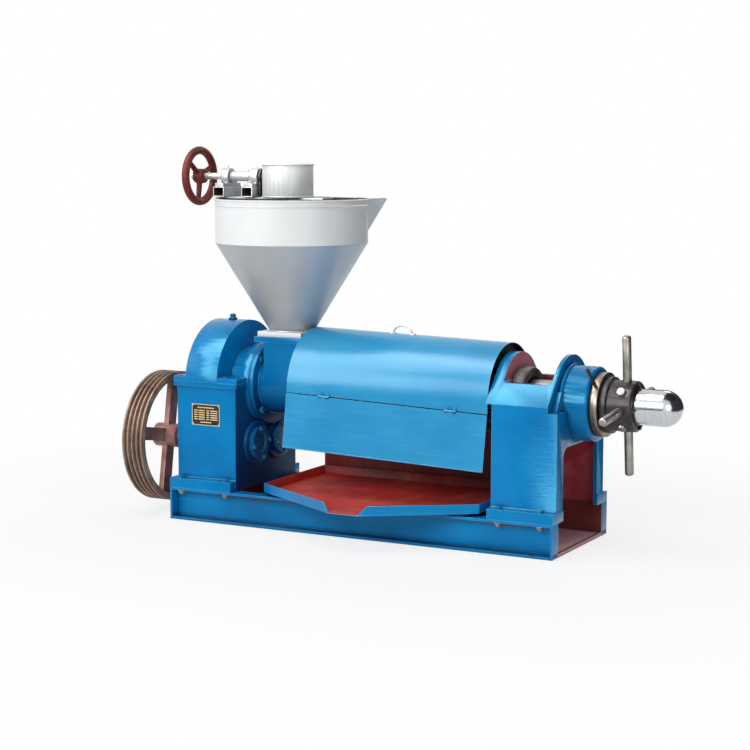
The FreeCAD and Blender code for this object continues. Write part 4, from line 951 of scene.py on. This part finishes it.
def makePillowBolts():
    up, parts = (0, 0, 1), []
    for across in pillow["x"]:
        for depth in (-pillow["reach"], pillow["reach"]):
            parts.append(addWasher((across, depth, pillow["foot"] + 0.001), up, pillow["washer"],
                                   pillow["hole"], 0.002))
            parts.append(addHexHead((across, depth, pillow["foot"] + 0.002), up, pillow["bolt"],
                                    pillow["boltHigh"]))
        # grease nipple on the crown
        low = Vector((across, 0, handLine.z + pillow["crown"]))
        high = low + Vector((0, 0, pillow["nippleHigh"]))
        parts.append(addRod(low, high, pillow["nipple"], pillow["nippleTip"], 14))
        parts.append(addDome(high, up, pillow["nipple"], 0.004))
    finishPiece(joinPieces(parts), "pillowBolts", "machine_frame", finishes["steel"])


makePillowBolts()

bracket = {"left": -0.514, "right": -0.507, "half": 0.028, "foot": 1.2035, "bore": 0.0145, "round": 0.031,
           "web": 0.0185, "boltRing": 0.0225, "bolt": 0.0042, "boltHigh": 0.003}


def makeFeederBracket():
    # black steel bracket that steadies the hand shaft where it enters the drum; its black plate also stands in for
    # the shade beside the drum
    middle, thick = (bracket["left"] + bracket["right"]) / 2, bracket["right"] - bracket["left"]
    parts = [addSlab((bracket["left"], -bracket["half"], bracket["foot"]),
                     (bracket["right"], bracket["half"], handLine.z - bracket["web"]), 0.0008),
             addWasher((middle, 0, handLine.z), (1, 0, 0), bracket["round"], bracket["bore"], thick + 0.001)]
    face = Vector((bracket["left"], 0, handLine.z))
    for turn in (45, 135, 225, 315):
        parts.append(addHexHead(face + outFrom(turn, bracket["boltRing"]), (-1, 0, 0), bracket["bolt"],
                                bracket["boltHigh"]))
    finishPiece(joinPieces(parts), "feederBracket", "machine_frame", finishes["dark_iron"])


makeFeederBracket()

sleeve = {"left": -0.648, "right": -0.559, "radius": 0.0185, "shaft": 0.0132, "collarIn": 0.004,
          "collar": 0.0022, "screwIn": 0.016, "screw": 0.0042, "screwHigh": 0.005}


def makeShaftSleeve():
    # spacer tube between the two blocks, with a set screw and a thin collar at each end
    centre, long = (sleeve["left"] + sleeve["right"]) / 2, sleeve["right"] - sleeve["left"]
    parts = [addWasher((centre, 0, handLine.z), (1, 0, 0), sleeve["radius"], sleeve["shaft"], long)]
    for across in (sleeve["left"] + sleeve["collarIn"], sleeve["right"] - sleeve["collarIn"]):
        parts.append(addRing((across, 0, handLine.z), (1, 0, 0), sleeve["radius"], sleeve["collar"],
                             steps=48, sides=8))
    top = (sleeve["right"] - sleeve["screwIn"], 0, handLine.z + sleeve["radius"] - 0.001)
    parts.append(addHexHead(top, (0, 0, 1), sleeve["screw"], sleeve["screwHigh"]))
    finishPiece(joinPieces(parts), "shaftSleeve", "hand_drive", blockSilver)


makeShaftSleeve()
print("hopper, drum and pillow block trim")

foot = {"boltX": (-0.735, -0.540, 0.565, 0.721), "boltY": 0.236, "hole": 0.0095, "top": 0.157,
        "washer": (0.0175, 0.0024), "underFlange": 0.111, "nutWasher": (0.0165, 0.0022)}


def makeFootWashers():
    # washers as (radius, thickness): above the feet, and under the channels' top flange
    upper, lower, up = [], [], (0, 0, 1)
    for across in foot["boltX"]:
        for depth in (-foot["boltY"], foot["boltY"]):
            radius, thick = foot["washer"]
            upper.append(addWasher((across, depth, foot["top"] + thick / 2), up, radius, foot["hole"], thick))
            radius, thick = foot["nutWasher"]
            lower.append(addWasher((across, depth, foot["underFlange"] - 0.0012), up, radius, foot["hole"],
                                   thick))
    finishPiece(joinPieces(upper), "footWashers", "machine_frame", finishes["blue"])
    finishPiece(joinPieces(lower), "nutWashers", "machine_frame", finishes["steel"])


makeFootWashers()

# weld runs from one point to another
beads = {
    "gearboxWelds": {"radius": 0.0042, "slot": "blue", "runs": (
        ((-0.758, -0.2185, 0.158), (-0.508, -0.2185, 0.158)),
        ((-0.758, 0.2185, 0.158), (-0.508, 0.2185, 0.158)),
        ((-0.762, -0.214, 0.158), (-0.762, 0.214, 0.158)),
        ((-0.758, -0.2185, 0.502), (-0.508, -0.2185, 0.502)),
        ((-0.758, 0.2185, 0.502), (-0.508, 0.2185, 0.502)),
        ((-0.580, -0.222, 0.540), (-0.580, -0.126, 0.540)),
        ((-0.580, 0.126, 0.540), (-0.580, 0.222, 0.540)),
        ((-0.719, -0.222, 0.540), (-0.719, 0.222, 0.540)))},
    "standWelds": {"radius": 0.0042, "slot": "blue", "runs": (
        ((0.533, -0.221, 0.158), (0.769, -0.221, 0.158)),
        ((0.533, 0.221, 0.158), (0.769, 0.221, 0.158)),
        ((0.529, -0.216, 0.158), (0.529, 0.216, 0.158)),
        ((0.738, -0.180, 0.4965), (0.738, -0.150, 0.4965)),
        ((0.738, 0.150, 0.4965), (0.738, 0.180, 0.4965)))},
    "baseWelds": {"radius": 0.0032, "slot": "maroon", "runs": (
        ((-0.773, -0.2005, 0.0155), (-0.773, 0.2005, 0.0155)),
        ((0.773, -0.2005, 0.0155), (0.773, 0.2005, 0.0155)),
        ((-0.612, -0.2005, 0.016), (-0.612, 0.2005, 0.016)),
        ((0.478, -0.2005, 0.016), (0.478, 0.2005, 0.016)))},
}
flangeBeads = {"section": 0.0042, "rings": ((-0.469, 0.1145), (-0.522, 0.1005), (-0.301, 0.1145))}


def makeBeads():
    for name, bead in beads.items():
        runs = [addBead(start, end, bead["radius"]) for start, end in bead["runs"]]
        finishPiece(joinPieces(runs), name, "machine_frame", finishes[bead["slot"]], smooth=60)
    rings = [addRing((across, 0, screwLine), (1, 0, 0), radius, flangeBeads["section"], sides=8)
             for across, radius in flangeBeads["rings"]]
    finishPiece(joinPieces(rings), "flangeWelds", "machine_frame", finishes["blue"], smooth=60)


makeBeads()
print("washers and weld beads")

hinge = {"length": 0.7909, "along": (0.154, 0.652), "flapLean": 5.4, "flapHigh": 0.1992, "wire": 0.0024,
         "lowerRivets": (-0.006, 0.006), "upperRivets": (-0.0175, 0.0155), "rivetUp": 0.0105,
         "rivet": 0.0021, "rivetHigh": 0.0013}


def hingeFrame(lean):
    # the hinge line's own axes: along it, inwards and up
    start, run = Vector(joints["flap_swing"]["pos_m"]), -Vector(joints["flap_swing"]["axis"])
    turn = Vector((1, 0, 0)).rotation_difference(run).to_matrix()
    turn = turn @ Matrix.Rotation(math.radians(-lean), 3, "X")
    return lambda along, inwards, up: start + turn @ Vector((along, inwards, up))


def addRivets(place, steps, inwards, up):
    outwards = place(0, -1, 0) - place(0, 0, 0)
    return [addDome(place(along + step, inwards, up), outwards, hinge["rivet"], hinge["rivetHigh"])
            for along in hinge["along"] for step in steps]


def makeFlapTrim():
    # wire rolled into the flap's lower edge, and the rivets of the hinges' two leaves
    place, low = hingeFrame(hinge["flapLean"]), 0.0016 - hinge["flapHigh"]
    start, end = place(0.001, 0.0033, low), place(hinge["length"] - 0.001, 0.0033, low)
    parts = [addRod(start, end, hinge["wire"], sides=14)]
    parts += addRivets(place, hinge["lowerRivets"], 0.0003, -hinge["rivetUp"])
    finishPiece(joinPieces(parts), "flapTrim", "front_flap", special["hood_front_flap"])
    rivets = addRivets(hingeFrame(0.0), hinge["upperRivets"], 0.0032, hinge["rivetUp"])
    finishPiece(joinPieces(rivets), "hingeRivets", "machine_frame", special["hood_front_flap"])


makeFlapTrim()

handle = {"x": 0.076, "spread": 0.040, "slope": -0.02532, "long": 0.011, "wide": 0.009, "thick": 0.0016,
          "rivetOut": 0.006, "rivetSide": 0.0055, "rivet": 0.0022, "rivetHigh": 0.0014}


def makeHandleTabs():
    parts = []
    for side in (-1, 1):
        across = handle["x"] + side * handle["spread"]
        level = hoodHigh.z + handle["slope"] * (across - hoodLow.x)
        parts.append(addSlab((across - handle["long"], -handle["wide"], level - 0.0005),
                             (across + handle["long"], handle["wide"], level + handle["thick"]), 0.0006, 2))
        for depth in (-handle["rivetSide"], handle["rivetSide"]):
            at = (across + side * handle["rivetOut"], depth, level + 0.0014)
            parts.append(addDome(at, (0, 0, 1), handle["rivet"], handle["rivetHigh"]))
    finishPiece(joinPieces(parts), "handleTabs", "machine_frame", finishes["steel"])


makeHandleTabs()

spacer = {"left": 0.584, "right": 0.735, "radius": 0.072, "shaft": 0.0345, "screwIn": 0.052,
          "turns": (38, 218), "screw": 0.008, "screwHigh": 0.006}


def makeScrewSleeve():
    # spacer on the screw between the discharge collar and the thrust bearing, held by two set screws
    middle, long = (spacer["left"] + spacer["right"]) / 2, spacer["right"] - spacer["left"]
    parts = [addWasher((middle, 0, screwLine), (1, 0, 0), spacer["radius"], spacer["shaft"], long)]
    centre = Vector((spacer["right"] - spacer["screwIn"], 0, screwLine))
    for turn in spacer["turns"]:
        parts.append(addHexHead(centre + outFrom(turn, spacer["radius"] - 0.0015), outFrom(turn, 1),
                                spacer["screw"], spacer["screwHigh"]))
    finishPiece(joinPieces(parts), "screwSleeve", "main_screw", finishes["worn_steel"])


makeScrewSleeve()

noseLow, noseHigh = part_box("nose_cap")
nose = {"seamBack": 0.010, "seamSteps": (0.002, 0.002, 0.006), "edge": 0.0008, "turns": (6, 96, 186, 276),
        "boltRing": 0.0745, "bolt": 0.0072, "boltHigh": 0.0058, "ring": 0.0635, "ringSection": 0.0026}


def makeNose():
    # spun cap: half a fine ball, its open rim drawn back along the screw to the hub
    radius = noseHigh.y
    centre = Vector((noseHigh.x - radius, 0, screwLine))
    bpy.ops.mesh.primitive_uv_sphere_add(segments=112, ring_count=72, radius=radius, location=centre,
                                         rotation=(0, math.radians(90), 0))
    cap = bpy.context.object
    pick(cap)
    bpy.ops.object.transform_apply(location=True, rotation=True, scale=True)
    bpy.ops.object.mode_set(mode="EDIT")
    bpy.ops.mesh.select_all(action="SELECT")
    bpy.ops.mesh.bisect(plane_co=centre, plane_no=(1, 0, 0), clear_inner=True)
    straight = centre.x - noseLow.x - nose["seamBack"]
    for back in (straight, *nose["seamSteps"]):
        bpy.ops.mesh.extrude_edges_move(TRANSFORM_OT_translate={"value": (-back, 0, 0)})
    closeMesh()
    roundEdges(cap, nose["edge"])
    finishPiece(cap, "noseCap", "adjuster", finishes["chrome"], smooth=50)
    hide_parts("nose_cap")


def makeNoseScrews():
    # four screws on the hub's face, and a dark ring round the foot of the nose
    face = Vector((noseLow.x, 0, screwLine))
    parts = [addHexHead(face + outFrom(turn, nose["boltRing"]), (1, 0, 0), nose["bolt"], nose["boltHigh"])
             for turn in nose["turns"]]
    parts.append(addRing(face + Vector((0.0015, 0, 0)), (1, 0, 0), nose["ring"], nose["ringSection"]))
    finishPiece(joinPieces(parts), "noseScrews", "adjuster", finishes["dark_iron"])


makeNose()
makeNoseScrews()
print("flap, handle and nose details")

backdrop = {"floor": (0.86, 0.86, 0.86, 1), "rough": 0.9, "shadowFrom": 0.9, "shadowTo": 2.6,
            "nearShare": 0.78, "ambient": (0.95, 0.97, 1, 1), "ambientStrength": 0.23}


def seenDirectly(tree):
    # 1 for what the camera, a reflection or a view through glass sees
    rays = tree.nodes.new("ShaderNodeLightPath")
    mirrored = calc(tree, "MAXIMUM", rays.outputs["Is Glossy Ray"], rays.outputs["Is Transmission Ray"])
    return calc(tree, "MAXIMUM", rays.outputs["Is Camera Ray"], mirrored)


def makeFloor():
    # a pale floor that keeps the shadow near the machine and turns white further out
    bpy.ops.mesh.primitive_plane_add(size=60, location=(0, 0, 0))
    floor = bpy.context.object
    floor.name = "studioFloor"
    material, tree, shader = newMaterial("pale studio floor")
    coat(tree, shader, backdrop["floor"], backdrop["rough"])
    glow = tree.nodes.new("ShaderNodeEmission")
    glow.inputs["Color"].default_value = (1, 1, 1, 1)
    across, depth, _ = axes(tree)
    share = span(tree, hypotenuse(tree, across, depth), backdrop["nearShare"], 1.0,
                 backdrop["shadowFrom"], backdrop["shadowTo"])
    mixed = tree.nodes.new("ShaderNodeMixShader")
    tree.links.new(times(tree, share, seenDirectly(tree)), mixed.inputs["Fac"])
    tree.links.new(shader.outputs["BSDF"], mixed.inputs[1])
    tree.links.new(glow.outputs["Emission"], mixed.inputs[2])
    tree.links.new(mixed.outputs["Shader"], tree.nodes["Material Output"].inputs["Surface"])
    floor.data.materials.append(material)


def makeWorld():
    # soft light from all round, and plain white for whatever looks past the floor
    world = bpy.data.worlds.new("studio")
    bpy.context.scene.world = world
    world.use_nodes = True
    tree = world.node_tree
    ambient = tree.nodes["Background"]
    ambient.inputs["Color"].default_value = backdrop["ambient"]
    ambient.inputs["Strength"].default_value = backdrop["ambientStrength"]
    white = tree.nodes.new("ShaderNodeBackground")
    white.inputs["Color"].default_value = (1, 1, 1, 1)
    white.inputs["Strength"].default_value = 1
    mixed = tree.nodes.new("ShaderNodeMixShader")
    tree.links.new(seenDirectly(tree), mixed.inputs["Fac"])
    tree.links.new(ambient.outputs["Background"], mixed.inputs[1])
    tree.links.new(white.outputs["Background"], mixed.inputs[2])
    tree.links.new(mixed.outputs["Shader"], tree.nodes["World Output"].inputs["Surface"])


# sheen lamps give gloss and don't light the paint; sizes are width and height
studioLamps = {
    "keySoftbox": {"at": (0.0, -5.2, 2.9), "aim": (0, 0, 0.6), "size": (2.4, 2.0), "power": 165},
    "topSoftbox": {"at": (-0.6, -0.8, 4.4), "aim": (0, 0, 0.5), "size": (2.6, 2.2), "power": 55},
    "leftSoftbox": {"at": (-4.2, -2.4, 2.0), "aim": (-0.4, 0, 0.5), "size": (1.8, 1.8), "power": 22},
    "rightSoftbox": {"at": (4.0, -2.6, 1.5), "aim": (0.4, 0, 0.4), "size": (1.6, 1.4), "power": 7},
    "backSoftbox": {"at": (0.8, 3.8, 2.8), "aim": (0, 0, 0.5), "size": (2.2, 1.6), "power": 55},
    "frontSheen": {"at": (-2.3, -4.2, 2.5), "aim": (0, 0, 0.6), "size": (1.8, 2.2), "power": 130},
    "rightSheen": {"at": (3.6, -3.3, 1.4), "aim": (0, 0, 0.8), "size": (1.0, 1.8), "power": 60},
    "overheadSheen": {"at": (-1.8, -1.7, 4.0), "aim": (0, 0, 0.6), "size": (2.2, 3.2), "power": 230},
}


def makeLamps():
    for name, lamp in studioLamps.items():
        bpy.ops.object.light_add(type="AREA", location=lamp["at"])
        light = bpy.context.object
        light.name = name
        light.data.shape = "RECTANGLE"
        light.data.size, light.data.size_y = lamp["size"]
        light.data.energy = lamp["power"]
        light.visible_diffuse = not name.endswith("Sheen")
        beam = Vector(lamp["aim"]) - Vector(lamp["at"])
        light.rotation_euler = beam.to_track_quat("-Z", "Y").to_euler()


# dark cards that only reflections see, so that bright metal has something to mirror
cardTone = {"color": (0.03, 0.03, 0.035, 1), "rough": 0.9}
studioCards = {
    "backCard": {"at": (1.6, 3.4, 1.5), "lean": 90, "turn": -10, "size": (4.2, 3.0)},
    "sideCard": {"at": (3.4, 1.0, 1.5), "lean": 90, "turn": -90, "size": (4.8, 3.0)},
    "roofCard": {"at": (2.2, 1.1, 3.0), "lean": 0, "turn": 0, "size": (2.6, 4.6)},
    "frontCard": {"at": (-0.9, -3.6, 0.34), "lean": 90, "turn": -12, "size": (5.0, 0.6)},
}


def makeCards():
    material, tree, shader = newMaterial("dark studio card")
    coat(tree, shader, cardTone["color"], cardTone["rough"])
    for name, card in studioCards.items():
        turned = (math.radians(card["lean"]), 0, math.radians(card["turn"]))
        bpy.ops.mesh.primitive_plane_add(size=1, location=card["at"], rotation=turned)
        sheet = bpy.context.object
        sheet.name = name
        sheet.scale = (*card["size"], 1)
        for ray in ("visible_camera", "visible_diffuse", "visible_shadow", "visible_transmission"):
            setattr(sheet, ray, False)
        sheet.data.materials.append(material)


cameraView = {"at": (3.1316, -5.9813, 1.3953), "down": 7.046, "turn": 27.92, "lens": 89.275, "sensor": 36}


def makeCamera():
    bpy.ops.object.camera_add(location=cameraView["at"])
    camera = bpy.context.object
    tilt, turn = math.radians(90 - cameraView["down"]), math.radians(cameraView["turn"])
    camera.rotation_euler = Euler((tilt, 0, turn))
    camera.data.lens = cameraView["lens"]
    camera.data.sensor_width = cameraView["sensor"]
    bpy.context.scene.camera = camera


makeFloor()
makeWorld()
makeLamps()
makeCards()
makeCamera()
bpy.context.scene.view_settings.view_transform = "Standard"
print("floor, light and camera")
